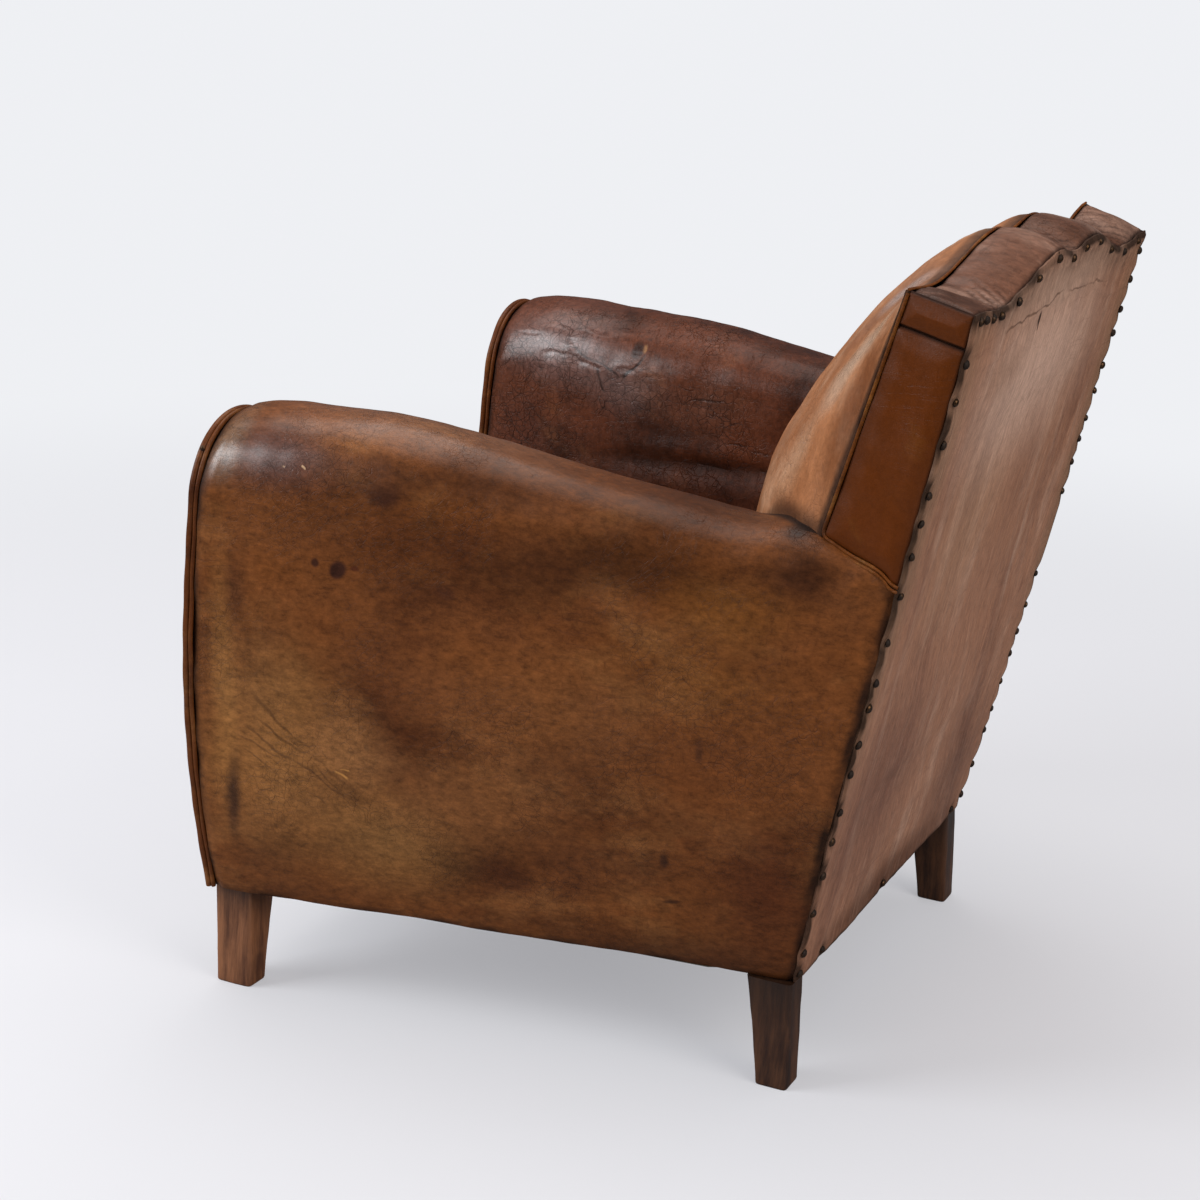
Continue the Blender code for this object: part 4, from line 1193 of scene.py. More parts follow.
class Finish(Enum):
    """Every finish on the chair."""

    NEAR_ARM = Leather(
        "side_leather", "3c1b0b", "75431f", "925f34", 0.44, 0.56, mottle=0.8,
        stretch=(1.0, 0.55, 1.0), marks=SIDE_MARKS, scratches=SIDE_LINES, rough=0.4,
        flat=(0.3, 1.0, 1.0), crack=0.45, crack_scale=170.0, gloss=0.3,
    )
    FAR_ARM = Leather(
        "far_arm_leather", "2c1409", "613420", "865437", 0.44, 0.6, patch=9.0, crack=0.55, crack_scale=110.0,
        rough=0.3, grain=0.0007, marks=FAR_MARKS, scratches=FAR_LINES, flat=(0.3, 1.0, 1.0),
    )
    INSIDE_BACK = Leather(
        "inside_back_leather", "77431f", "af744d", "cfa382", 0.42, 0.54, patch=6.0, stretch=(1.15, 1.0, 0.85),
        rough=0.34, crack=0.3, mottle=0.45, marks=INSIDE_MARKS,
    )
    EDGE = Leather(
        "side_edge_leather", "451d06", "65300b", "7d4a1a", 0.36, 0.64, patch=8.0, rough=0.36, mottle=0.26,
        crack=0.0, scuff=0.2,
    )
    TOP = Leather(
        "top_leather", "3c2216", "6f4937", "9a7867", 0.46, 0.5, mottle=0.75, patch=9.0,
        stretch=(1.0, 0.45, 1.0), rough=0.4, scuff=0.5,
    )
    BACK = Leather(
        "outer_back_leather", "70493a", "a1735a", "bf9a85", 0.38, 0.54, patch=5.0, stretch=(2.4, 1.0, 0.5),
        rough=0.6, mottle=0.6, crack=0.15, streak=0.38, gloss=0.0, marks=BACK_MARKS, scratches=BACK_LINES,
        grime_and_shade="22150d", flat=(1.0, 0.2, 1.0),
    )
    WELT = Leather(
        "welt_leather", "38190b", "653617", "8f5c30", 0.42, 0.55, patch=16.0, rough=0.38, mottle=0.4
    )
    PIPING = Leather("piping_leather", "3a1c0a", "6f3c14", "93602c", 0.44, 0.55, patch=18.0, rough=0.36)
    SEAT = Leather(
        "seat_leather", "351a0c", "643717", "87572d", 0.42, 0.56, patch=7.0, crack=0.6,
        crack_scale=130.0, rough=0.36,
    )
    FRONT_LEG = Wood("front_leg_wood", "4e2a17", "97623f", (70.0, 70.0, 6.0), 0.45, 0.06, 0.135)
    REAR_LEG = Wood("rear_leg_wood", "2a150c", "5e3a22", (70.0, 70.0, 6.0), 0.45, 0.04, 0.125)
    BEECH = Wood("frame_beech", "8a6540", "b58f62", (45.0, 45.0, 20.0), 0.65)
    JUTE = Weave("jute", "8f7850", "5d4a30", 500.0)
    DUST_CLOTH = Weave("dust_cloth", "54493c", "2d261f", 700.0)
    HAIR = Fibre("stuffing_fibre", "8d7650", "57452b")
    NAIL = Metal("nail_bronze", "5c4430", "2a1d15", 0.36, 0.46)
    WIRE = Metal("spring_wire", "6a655f", "4a2c1a", 0.4, 0.55)

    @property
    def slot(self) -> Slot:
        """The record's slot that the finish goes with, leather for most."""
        return SLOTS.get(self, Slot.LEATHER)


SLOTS = {
    Finish.BACK: Slot.BACK,
    Finish.FRONT_LEG: Slot.LEG,
    Finish.REAR_LEG: Slot.LEG,
    Finish.DUST_CLOTH: Slot.HESSIAN,
    Finish.HAIR: Slot.STUFFING,
    Finish.NAIL: Slot.STEEL,
}


class Wardrobe:
    """The finishes as materials, each made once."""

    def __init__(self) -> None:
        """Starts empty."""
        self.made: dict[Finish, bpy.types.Material] = {}

    def dress(self, piece: Thing, finish: Finish) -> None:
        """Gives a piece one finish in place of what it had."""
        if finish not in self.made:
            self.made[finish] = finish.value.material()
        piece.data.materials.clear()
        piece.data.materials.append(self.made[finish])


WARDROBE = Wardrobe()


def nail_head(radius: float, height: float, sides: int = 12, rings: int = 5) -> tuple[Array, ...]:
    """A round nail's head: half a sphere pressed flatter, on a small sunk foot.

    Args:
        radius: its half width.
        height: how far it stands out.
        sides: points round each ring.
        rings: rings from the rim to the middle.
    Returns:
        Each point's height and its two places across, by ring.
    """
    turn = np.linspace(0, 2 * math.pi, sides, endpoint=False)
    lift = np.linspace(0, math.pi / 2 * 0.93, rings)
    spread = np.concatenate([[0.6], np.cos(lift)])[:, None] * radius
    out = np.concatenate([[-0.0012], np.sin(lift) * height])[:, None] * np.ones(sides)
    return out, spread * np.cos(turn), spread * np.sin(turn)


@dataclass
class Arm:
    """One arm: its leather, the padded facing and the welt between them."""

    side: Side
    stations: int = 118
    beside: int = 22
    wall_points: int = 46
    over_points: int = 14
    top_points: int = 64
    inner_points: int = 40
    wadding: float = 0.005
    pad_depth: float = 0.006
    strip_width: float = 0.0033
    strip_height: float = 0.0042
    cord_radius: float = 0.0022
    skin: float = 0.0022
    welt_nail_z: float = 0.583
    welt_nail_radius: float = 0.003
    welt_nail_height: float = 0.0024
    fold_y: float = -0.07
    fold_z: float = 0.486
    fold_slope: float = 0.05

    @property
    def finish(self) -> Finish:
        """The finish of this arm's leather and facing."""
        return Finish.NEAR_ARM if self.side is Side.LEFT else Finish.FAR_ARM

    def fold_line(self, y: Array) -> Array:
        """Height of the fold low on the right arm's inside, a straight line along the arm."""
        return self.fold_z + self.fold_slope * (y - self.fold_y)

    def fold_reach(self, y: Array) -> Array:
        """How strong the fold is along the arm, a bell."""
        return hump(y, self.fold_y, 0.12)

    def surface(self, ys: Array) -> Array:
        """The arm's outer face: a tucked wall, a superellipse over the top and a flat inner wall.

        Args:
            ys: stations along the chair.
        Returns:
            Points by station and by place round the arm, on the left side.
        """
        y = ys[:, None]
        height, _ = FORM.arm_round(y)
        shoulder = FORM.arm_top(y) - height
        rise = np.linspace(0, 1, self.wall_points, endpoint=False)[None]
        wall_z = FORM.skirt + (shoulder - FORM.skirt) * rise
        wall_x = FORM.side_half(y) - FORM.tuck(wall_z, y)
        end = FORM.wall_end_turn(y)
        over = end * np.linspace(0, 1, self.over_points)[None]
        rest = end + (math.pi - end) * np.linspace(0, 1, self.top_points)[None, 1:]
        top_x, top_z = FORM.rounded_top(y, 0.0, np.concatenate([over, rest], axis=1))
        drop = np.linspace(0, 1, self.inner_points)[None, 1:]
        inner_z = shoulder + (FORM.inner_foot - shoulder) * drop
        inner_x = np.broadcast_to(FORM.inner_face(y), inner_z.shape)
        x = np.concatenate([wall_x, top_x, inner_x], axis=1)
        z = np.concatenate([wall_z, top_z, inner_z], axis=1)
        points = FORM.leaned(np.stack([x, np.broadcast_to(y, x.shape), z], axis=-1))
        points[..., 2] -= FORM.slump(self.side, points[..., 1], points[..., 2])
        points[..., 1] -= FORM.bulge(points[..., 2]) * smooth(FORM.cover_y + 0.12, FORM.cover_y, y)
        return points

    def wear(self, points: Array, ys: Array) -> Array:
        """How far the leather stands off its smooth form: sags, lips at its edges, folds and dimples.

        Args:
            points: the smooth form's points, on the left side.
            ys: stations along the chair.
        Returns:
            Distances along the normal.
        """
        place = mirrored(points, self.side)
        y, z = ys[:, None], points[..., 2]
        seed = 11 if self.side is Side.LEFT else 23
        off = 0.0016 * wobble(place, 0.22, seed) + 0.0006 * wobble(place, 0.07, seed + 1)
        off = off + 0.00022 * wobble(place, 0.025, seed + 2)
        column = np.arange(points.shape[1])[None] / (points.shape[1] - 1)
        wall = column < self.wall_points / points.shape[1]
        billow = np.sin(math.pi * np.clip((z - FORM.skirt) / 0.42, 0, 1))
        off = off + 0.003 * wall * billow * smooth(FORM.cover_y, FORM.cover_y + 0.12, y)
        uneven = 1 + 0.35 * wobble(place, 0.05, seed + 3)
        front = smooth(FORM.cover_y + 0.01, FORM.cover_y, y)
        off = off - 0.0035 * front * uneven - 0.0006 * wobble(place, 0.03, seed + 5) * front
        rear = smooth(FORM.wall_end_y - 0.01, FORM.wall_end_y, y) * (column < 0.5)
        pucker = 0.5 + 0.5 * np.cos(2 * math.pi * (z - 0.11) / 0.038)
        off = off - 0.003 * rear * (0.6 + 0.4 * pucker)
        off = off - 0.0028 * smooth(FORM.skirt + 0.008, FORM.skirt, z) * wall
        inner = column > (self.wall_points + self.over_points + self.top_points) / points.shape[1]
        if self.side is Side.RIGHT:
            line = self.fold_line(points[..., 1])
            fold = -0.0055 * hump(z, line, 0.0065)
            roll = 0.0055 * hump(z, line - 0.024, 0.016)
            lip = 0.003 * hump(z, line + 0.016, 0.01)
            off = off + inner * self.fold_reach(points[..., 1]) * (fold + roll + lip)
            creases = np.abs(wobble(place, 0.045, 41)) < 0.16
            worn = hump(points[..., 1], -0.24, 0.1) * hump(z, 0.58, 0.06)
            off = off - 0.0008 * creases * worn
        behind = smooth(0.12, 0.2, points[..., 1]) * hump(z, FORM.arm_crown - 0.1, 0.03)
        return off + 0.0015 * behind * wobble(place, 0.045, seed + 7)

    def soil(self, points: Array, ys: Array) -> Array:
        """Dirt and painted shade along the leather's front edge, its rear edge, its hem and its inner foot,
        in the right arm's fold and where the top runs beside the back.

        Args:
            points: the smooth form's points, on the left side.
            ys: stations along the chair.
        Returns:
            Shares from nought to one.
        """
        place, z = mirrored(points, self.side), points[..., 2]
        uneven = 1 + 0.5 * wobble(place, 0.04, 31)
        front = smooth(FORM.cover_y + 0.007, FORM.cover_y + 0.001, ys)[:, None] * uneven
        rear = 0.9 * smooth(FORM.wall_end_y - 0.012, FORM.wall_end_y - 0.001, ys)[:, None] * uneven
        hem = 0.6 * smooth(FORM.skirt + 0.008, FORM.skirt, z) * uneven
        # Darker at the inner foot, down by the cushion: painted shade, with some dirt.
        inner = points[..., 0] < FORM.side_half(ys)[:, None] - FORM.arm_half(ys)[:, None]
        foot = 0.8 * smooth(0.46, 0.41, z) * inner
        folds = np.zeros(z.shape)
        # Painted shade in the fold's crease, and beside the inside back where the arm's top runs into it.
        if self.side is Side.RIGHT:
            y = points[..., 1]
            folds = 0.7 * inner * self.fold_reach(y) * hump(z, self.fold_line(y), 0.005)
        gap = FORM.inside_gap(points)
        over = np.arange(points.shape[1]) >= self.wall_points + self.over_points
        beside_back = smooth(0.022, 0.008, gap) * over * smooth(0.44, 0.48, z)
        return np.maximum.reduce([front, rear, hem, foot, folds, beside_back])

    def build_leather(self) -> None:
        """The skin from the outer bottom edge over the top and down inside."""
        along = np.linspace(FORM.cover_y, FORM.arm_end_y, self.stations)
        ys = np.concatenate([along, np.linspace(FORM.arm_end_y, FORM.wall_end_y, self.beside)[1:]])
        form = self.surface(ys)
        normals = normals_of(form)
        outer = form + normals * self.wear(form, ys)[..., None]
        inner = outer - normals * self.skin
        kept = np.ones((len(ys) - 1, outer.shape[1] - 1), bool)
        kept[self.stations - 1 :, self.wall_points + self.over_points - 1 :] = False
        name = f"arm_leather_{self.side.word}"
        pieces = [mirrored(sheet, self.side) for sheet in (outer, inner)]
        piece = make_shell(name, *pieces, self.finish, kept, self.soil(form, ys))
        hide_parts(f"arm_cover_{self.side.word}")
        self.build_wadding(inner[: self.stations], normals[: self.stations])

    def build_wadding(self, leather: Array, normals: Array) -> None:
        """The pad under the leather, which keeps to its inner face and ends where the node's pad does.

        Args:
            leather: the leather's inner sheet, on the left side.
            normals: the leather's normals.
        """
        low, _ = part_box(f"arm_stuffing_{self.side.word}")
        start = int(np.argmax(leather[0, :, 2] > low[2] + 0.01))
        end = int(leather.shape[1] - np.argmax(leather[0, ::-1, 2] > low[2] + 0.01))
        outer = (leather - normals * 0.0055)[1:-1:3, start:end:2]
        pad = outer - normals[1:-1:3, start:end:2] * self.wadding
        name = f"arm_wadding_{self.side.word}"
        piece = make_shell(name, mirrored(outer, self.side), mirrored(pad, self.side), Finish.HAIR)
        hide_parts(f"arm_stuffing_{self.side.word}")

    def outline(self, inset: float, count: int = 150) -> Array:
        """The arm's front outline, drawn in, with evenly spaced points from outer foot to inner foot."""
        y = FORM.cover_y
        height, _ = FORM.arm_round(y)
        shoulder = FORM.arm_top(y) - height
        wall_z = np.linspace(FORM.skirt, shoulder, 40, endpoint=False)
        wall_x = FORM.side_half(y) - inset - FORM.tuck(wall_z, y)
        top_x, top_z = FORM.rounded_top(np.full(80, y), inset, np.linspace(0, math.pi, 80))
        inner_z = np.linspace(shoulder, FORM.skirt, 40)[1:]
        x = np.concatenate([wall_x, top_x, np.full(39, FORM.inner_face(y) + inset)])
        z = np.concatenate([wall_z, top_z, inner_z])
        path = np.stack([x, np.full(len(x), y), z], axis=-1)
        path[:, 2] -= FORM.slump(self.side, path[:, 1], path[:, 2])
        return evened(path, np.linalg.norm(np.diff(path, axis=0), axis=1).sum() / count)

    def build_facing(self) -> None:
        """The padded panel: rings that shrink to its middle, domed by a power of the shrinking."""
        ring = self.outline(0.0084, 150)
        bottom = np.tile(ring[0], (22, 1))
        bottom[:, 0] = np.linspace(ring[-1, 0], ring[0, 0], 22)
        ring = np.concatenate([ring, bottom[1:-1]])
        centre = np.array([(ring[0, 0] + ring[-1, 0]) / 2, 0.0, 0.36])
        shares = np.linspace(1, 0.02, 34) ** 0.8
        rings = centre + (ring[None] - centre) * shares[:, None, None]
        dome = (1 - shares ** 5)[:, None] * np.ones(len(ring))[None]
        crease = 0.0009 * wobble(rings, 0.06, 61)
        rings[..., 1] = FORM.front_y + 0.006 - self.pad_depth * dome + crease * dome
        rear = ring.copy()
        rear[:, 1] = FORM.front_y + 0.0135
        points = np.concatenate([rear[None], rings])
        points[..., 1] -= FORM.bulge(points[..., 2])
        faces = ring_faces(points.shape[0], points.shape[1])
        # Darker at the outer rings, where the panel tucks under the welt: painted shade, with some dirt.
        soil = np.repeat(np.concatenate([[1.0, 1.0], smooth(0.9, 1.0, shares[1:])]), len(ring))
        name = f"arm_front_panel_{self.side.word}"
        piece = make_piece(name, mirrored(points, self.side), faces, self.finish, soil)
        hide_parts(f"arm_facing_{self.side.word}")

    def build_welt(self) -> None:
        """A rolled strip in front and a thinner cord behind it, both following the arm's front outline."""
        strip = self.outline(0.0048, 220)
        strip[:, 1] = FORM.front_y + 0.0046 - FORM.bulge(strip[:, 2])
        strip[:, 0] += 0.0004 * np.sin(strip[:, 2] * 130)
        cord = self.outline(0.004, 220)
        cord[:, 1] = FORM.front_y + 0.0101 + 0.0004 * np.sin(cord[:, 2] * 90 + 1) - FORM.bulge(cord[:, 2])
        bars = [
            (mirrored(strip, self.side), LENGTHWAYS, oval(self.strip_height, self.strip_width, 14, 2.6)),
            (mirrored(cord, self.side), LENGTHWAYS, oval(self.cord_radius * 1.3, self.cord_radius, 10)),
        ]
        piece = make_cords(f"arm_piping_{self.side.word}", bars, Finish.WELT)
        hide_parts(f"arm_welt_{self.side.word}")

    def build_welt_nail(self) -> None:
        """The one small nail on the welt, which only the left arm has."""
        out, up, along = nail_head(self.welt_nail_radius, self.welt_nail_height)
        path = self.outline(0.0)
        place = path[int(np.argmax(path[:, 2] > self.welt_nail_z))]
        front = FORM.front_y + 0.0062 - FORM.bulge(place[2])
        points = np.stack([place[0] - 0.0012 + out, front + along, place[2] + up], axis=-1)
        make_piece("arm_welt_nail", points, ring_faces(*out.shape), Finish.NAIL)

    def build(self) -> None:
        """Makes the arm's pieces."""
        self.build_leather()
        self.build_facing()
        self.build_welt()
        if self.side is Side.LEFT:
            self.build_welt_nail()


NEAR_NAIL_HEIGHTS = (
    0.753, 0.718, 0.678, 0.63, 0.603, 0.571, 0.532, 0.486, 0.445, 0.419, 0.381, 0.35, 0.309, 0.277, 0.239,
    0.196, 0.148, 0.122,
)
FAR_NAIL_HEIGHTS = (
    0.776, 0.744, 0.71, 0.683, 0.646, 0.617, 0.585, 0.561, 0.534, 0.499, 0.4, 0.362, 0.329, 0.302, 0.268,
    0.234, 0.208, 0.166, 0.13,
)
TOP_NAIL_PLACES = (
    0.312, 0.292, 0.269, 0.239, 0.187, 0.133, 0.07, 0.007, -0.038, -0.097, -0.164, -0.238, -0.298,
)
FOOT_NAIL_PLACES = (0.205, 0.01, -0.24)


@dataclass
class Back:
    """The back: outer panel and its nails, side edges, lobed top, crowned inside and the piping between."""

    columns: int = 150
    rows: int = 150
    nail_inset: float = 0.0055
    nail_radius: float = 0.0044
    nail_height: float = 0.0032
    piping_radius: float = 0.0017
    piping_spacing: float = 0.004
    panel_skin: float = 0.0018
    edge_skin: float = 0.0022
    inside_skin: float = 0.0025
    edge_start: float = 0.003
    patch_length: float = 0.033
    widest_turn: float = math.pi / 2 * 0.97

    def nail_places(self) -> Array:
        """Where the nails stand, as places across and up the outer back.

        Returns:
            Pairs of across and up.
        """
        rows = []
        for side, heights in ((1, NEAR_NAIL_HEIGHTS), (-1, FAR_NAIL_HEIGHTS)):
            up = (np.array(heights) - FORM.skirt) / math.cos(FORM.rake)
            rows.append(np.stack([side * (FORM.back_half(up) - self.nail_inset), up], axis=-1))
        across = np.array(TOP_NAIL_PLACES)
        rows.append(np.stack([across, FORM.top(across) - self.nail_inset - 0.001], axis=-1))
        rows.append(np.stack([np.array(FOOT_NAIL_PLACES), np.full(3, 0.01)], axis=-1))
        return np.concatenate(rows)

    def build_panel(self) -> None:
        """The outer back: a flat sheet, hollow in its middle, dimpled at each nail and puffed between."""
        u = np.sin(np.linspace(-1, 1, self.columns) * self.widest_turn) / math.sin(self.widest_turn)
        v = (1 - np.cos(np.linspace(0.06, 0.94, self.rows) * math.pi)) / 2
        v = (v - v[0]) / (v[-1] - v[0])
        x_top = u[None] * FORM.half_top
        up = v[:, None] * FORM.top(x_top)
        x = u[None] * FORM.back_half(up)
        flat = FORM.back(x, up, np.zeros(x.shape))
        nails = self.nail_places()
        away = np.hypot(x[..., None] - nails[:, 0], up[..., None] - nails[:, 1])
        near = away.min(axis=-1)
        to_side = FORM.back_half(up) - np.abs(x)
        to_top = FORM.top(x) - up
        edge = np.minimum(np.minimum(to_side, to_top), up)
        lower = smooth(0.105, 0.135, up) * smooth(0.195, 0.165, up)
        upper = smooth(0.25, 0.33, up) * smooth(0.608, 0.54, up)
        off = -0.005 * smooth(0.045, 0.15, to_side) * np.maximum(0.5 * lower, upper)
        off = off - 0.0016 * hump(near, 0.0, 0.0075)
        off = off + 0.0009 * hump(edge, 0.008, 0.009) * smooth(0.006, 0.018, near)
        off = off - 0.0019 * smooth(0.0035, 0.0, edge)
        off = off + 0.0007 * wobble(flat, 0.16, 71)
        off = off + 0.00025 * wobble(flat * np.array([1, 0.3, 0.3]), 0.03, 72)
        ridge = hump(to_top, 0.047 + 0.02 * np.abs(x), 0.0032) * smooth(0.3, 0.24, np.abs(x))
        off = off + 0.0012 * ridge
        folds = np.sin(x * 330 + 3.0 * wobble(flat, 0.1, 73)) * hump(to_top, 0.012, 0.012)
        off = off + 0.0006 * folds
        # Darker along the rim, round the nails and in the folds' hollows under the top: painted shade in the
        # seam and the hollows, dirt round the nails.
        rim = smooth(0.0105, 0.002, edge) * (0.9 + 0.4 * wobble(flat, 0.03, 74))
        round_nails = hump(near, 0.0, 0.0085) * (0.75 + 0.25 * wobble(flat, 0.05, 75))
        soil = np.maximum(np.maximum(rim, round_nails), 0.35 * hump(to_top, 0.01, 0.012) * (folds < -0.2))
        outer = FORM.back(x, up, -off)
        inner = FORM.back(x, up, -off + self.panel_skin)
        piece = make_shell("outer_back_leather", outer, inner, Finish.BACK, soil=soil)
        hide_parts("outer_back_panel")

    def build_nails(self) -> None:
        """Round-headed nails: half spheres pressed flatter, each on a small sunk foot."""
        places = self.nail_places()
        height, across, along = nail_head(self.nail_radius, self.nail_height)
        draw = np.random.default_rng(5)
        lean = draw.normal(0, 0.08, (len(places), 2))
        size = draw.uniform(0.9, 1.1, len(places))
        points, faces = [], []
        for number, (x, up) in enumerate(places):
            out = height + across * lean[number, 0] + along * lean[number, 1]
            dome = FORM.back(x + across * size[number], up + along * size[number], -out + 0.0006)
            points.append(dome.reshape(-1, 3))
            faces += ring_faces(*height.shape, number * height.size)
        make_piece("back_nails", np.concatenate(points), faces, Finish.NAIL)

    def edge_panel(self, name: str, node: str, side: Side, low: Array, high: Array) -> None:
        """A padded strip of the back's side edge, plump in its middle and tucked in at its four edges.

        Args:
            name: the piece's name.
            node: the node it stands for.
            side: which side.
            low: lower edge's length up the back, by depth share.
            high: upper edge's length up the back, by depth share.
        """
        v = np.linspace(0, 1, 70)[:, None]
        u = np.linspace(0, 1, 34)[None]
        up = low[None] + v * (high - low)[None]
        forward = self.edge_start + u * (FORM.edge_depth(up) - self.edge_start)
        x = FORM.edge_x(up, forward)
        form = FORM.back(x, up, forward)
        span = float((high - low).mean())
        to_edge = np.minimum(np.minimum(u, 1 - u) * 0.075, np.minimum(v, 1 - v) * span)
        off = 0.0024 * smooth(0.0, 0.02, to_edge) - 0.0022 * smooth(0.0025, 0.0, to_edge)
        off = off + 0.0006 * wobble(form, 0.06, 81) + 0.0003 * wobble(form, 0.025, 82)
        outer = form + off[..., None] * SIDEWAYS
        inner = outer - self.edge_skin * SIDEWAYS
        # Darker where the strip tucks in at its edges: painted shade, with some dirt.
        soil = 0.85 * smooth(0.0032, 0.0004, to_edge) + 0.22 * smooth(0.02, 0.0, to_edge)
        piece = make_shell(name, mirrored(outer, side), mirrored(inner, side), Finish.EDGE, soil=soil)
        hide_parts(node)

    def build_edges(self) -> None:
        """The side edges' leather, each with the small patch sewn on above it."""
        u = np.linspace(0, 1, 34)
        patch = np.full(34, FORM.back_length - self.patch_length)
        for side in Side:
            word = side.word
            top = FORM.back_length - 0.0004 + FORM.ear(np.full(34, side.value * 0.315), u)
            seam = FORM.seam_up(side, FORM.wall_gap + u * (FORM.edge_low - FORM.wall_gap)) + 0.0008
            self.edge_panel(f"back_edge_leather_{word}", f"back_side_panel_{word}", side, seam, patch)
            self.edge_panel(f"back_edge_patch_{word}", f"back_upper_patch_{word}", side, patch + 0.0006, top)

    def build_top(self) -> None:
        """The strip over the top edge, which follows the lobes, plump between its seams, with fine pleats."""
        x_share = np.linspace(-1, 1, 240)[:, None]
        w = np.linspace(0, 1, 36)[None]
        forward = 0.0026 + w * (FORM.edge_top - 0.0026)
        x = x_share * (FORM.edge_x(FORM.back_length, forward) - 0.0006)
        up = FORM.top(x) + FORM.ear(x, w)
        form = FORM.back(x, up, forward)
        to_seam = np.minimum(w, 1 - w) * 0.066
        to_end = (1 - np.abs(x_share)) * 0.32
        valley = hump(np.abs(x), FORM.valley_at * FORM.half_top, 0.034)
        middle = hump(x, 0.0, 0.022)
        lobes = (1 - 0.92 * valley - 0.85 * middle) * np.sqrt(smooth(0.0, 0.05, to_end))
        plump = np.sin(math.pi * w) ** 0.6
        puff = 0.0065 + 0.0055 * smooth(-0.16, -0.25, x)
        off = puff * plump * lobes - 0.0025 * middle * plump - 0.0022 * smooth(0.0035, 0.0, to_seam)
        off = off - 0.0032 * smooth(0.006, 0.0, to_end)
        pleats = np.sin(x * 520 + 22 * w * np.sign(x)) * np.maximum(valley, 0.7 * middle)
        pleats = pleats * smooth(0.85, 0.2, w) * smooth(0.0, 0.004, to_seam)
        off = off + 0.0011 * pleats
        off = off + 0.0009 * wobble(form, 0.05, 91) + 0.0004 * wobble(form, 0.018, 92)
        outer = FORM.back(x, up + off, forward)
        inner = FORM.back(x, up + off - self.edge_skin, forward)
        # Darker at the seams, in the pleats' hollows, at the middle dip and at the ends: painted shade, with
        # some dirt.
        soil = np.maximum(smooth(0.005, 0.001, to_seam), 0.5 * (pleats < -0.3) + 0.35 * middle)
        soil = np.maximum(soil, smooth(0.006, 0.001, to_end))
        piece = make_shell("back_top_leather", outer, inner, Finish.TOP, soil=soil)
        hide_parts("back_top_strip")

    def build_inside(self) -> None:
        """The crowned inside back: a swell over a flat sheet, pulled low down, gathered at its rim."""
        u = np.sin(np.linspace(-1, 1, 140) * math.pi / 2)[None]
        v = (np.linspace(0, 1, 120) ** 0.85)[:, None]
        x = u * FORM.edge_x(FORM.back_length, FORM.edge_top)
        crest = FORM.top(x) + FORM.ear(x, 1.0)
        up = FORM.pad_foot + v * (crest - FORM.pad_foot)
        x = u * FORM.edge_x(up, FORM.edge_depth(up))
        forward = FORM.edge_depth(up) + FORM.inside_gap_least + FORM.swell(x, up)
        form = FORM.back(x, up, forward)
        to_rim = np.minimum(FORM.edge_x(up, FORM.edge_depth(up)) - np.abs(x), crest - up)
        off = 0.0009 * wobble(form, 0.16, 101) * smooth(0.0, 0.05, to_rim)
        off = off + 0.0005 * wobble(form, 0.05, 102) * smooth(0.0, 0.02, to_rim)
        pull = np.sin(x * 95 + 2.0 * wobble(form, 0.2, 104)) * hump(up, 0.4, 0.1)
        off = off + 0.0012 * pull * smooth(0.17, 0.24, np.abs(x)) * smooth(0.0, 0.02, to_rim)
        gather = np.sin(x * 210 + up * 40) * hump(to_rim, 0.012, 0.012)
        off = off + 0.0005 * gather
        normals = normals_of(form)
        normals = normals * np.sign((normals @ FORM.forward_way))[..., None]
        outer = form + normals * off[..., None]
        inner = outer - FORM.forward_way * self.inside_skin
        # Darker at the gathered rim and beside the arms: painted shade, with some dirt.
        soil = 0.8 * smooth(0.008, 0.001, to_rim) + 0.14 * smooth(0.04, 0.0, to_rim) * (1 - gather / 2)
        soil = np.maximum(soil, 0.7 * self.beside_arms(outer))
        kept = self.clear_of_arms(outer)
        piece = make_shell("inside_back_leather", outer, inner, Finish.INSIDE_BACK, kept, soil)
        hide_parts("inside_back_cover")
        self.build_wadding(outer[5:-7:3, 8:-8:3])

    def build_wadding(self, leather: Array) -> None:
        """The pad under the crowned leather, which keeps to its inner face.

        Args:
            leather: the leather's outer sheet, without its rim.
        """
        pads = [leather - FORM.forward_way * depth for depth in (0.0065, 0.0185)]
        piece = make_shell("back_wadding", *pads, Finish.HAIR, self.clear_of_arms(leather))
        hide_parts("back_stuffing")

    def buried(self, grid: Array) -> Array:
        """How deep points lie in an arm: the smaller of the depths below its crown and behind its inner face.

        Args:
            grid: the surface's points.
        Returns:
            Depths, below nought outside.
        """
        x, y, z = np.abs(grid[..., 0]), grid[..., 1], grid[..., 2]
        along = FORM.upright_y(y, z)
        height, square = FORM.arm_round(along)
        half = FORM.arm_half(along)
        share = np.clip(np.abs(x - FORM.side_half(along) + half) / half, 0, 1)
        crown = FORM.arm_top(along) - height + height * (1 - share ** square) ** (1 / square)
        left = grid[..., 0] > 0
        crown = crown - np.where(left, FORM.slump(Side.LEFT, y, crown), FORM.slump(Side.RIGHT, y, crown))
        return np.minimum(x - FORM.inner_face(along), crown - z)

    def beside_arms(self, grid: Array) -> Array:
        """Dirt and painted shade where the surface goes down beside an arm."""
        return smooth(-0.02, 0.0, self.buried(grid))

    def clear_of_arms(self, grid: Array) -> Array:
        """Which cells of a grid have a corner that isn't buried in an arm."""
        deep = self.buried(grid) > 0.009
        return ~(deep[:-1, :-1] & deep[1:, :-1] & deep[:-1, 1:] & deep[1:, 1:])

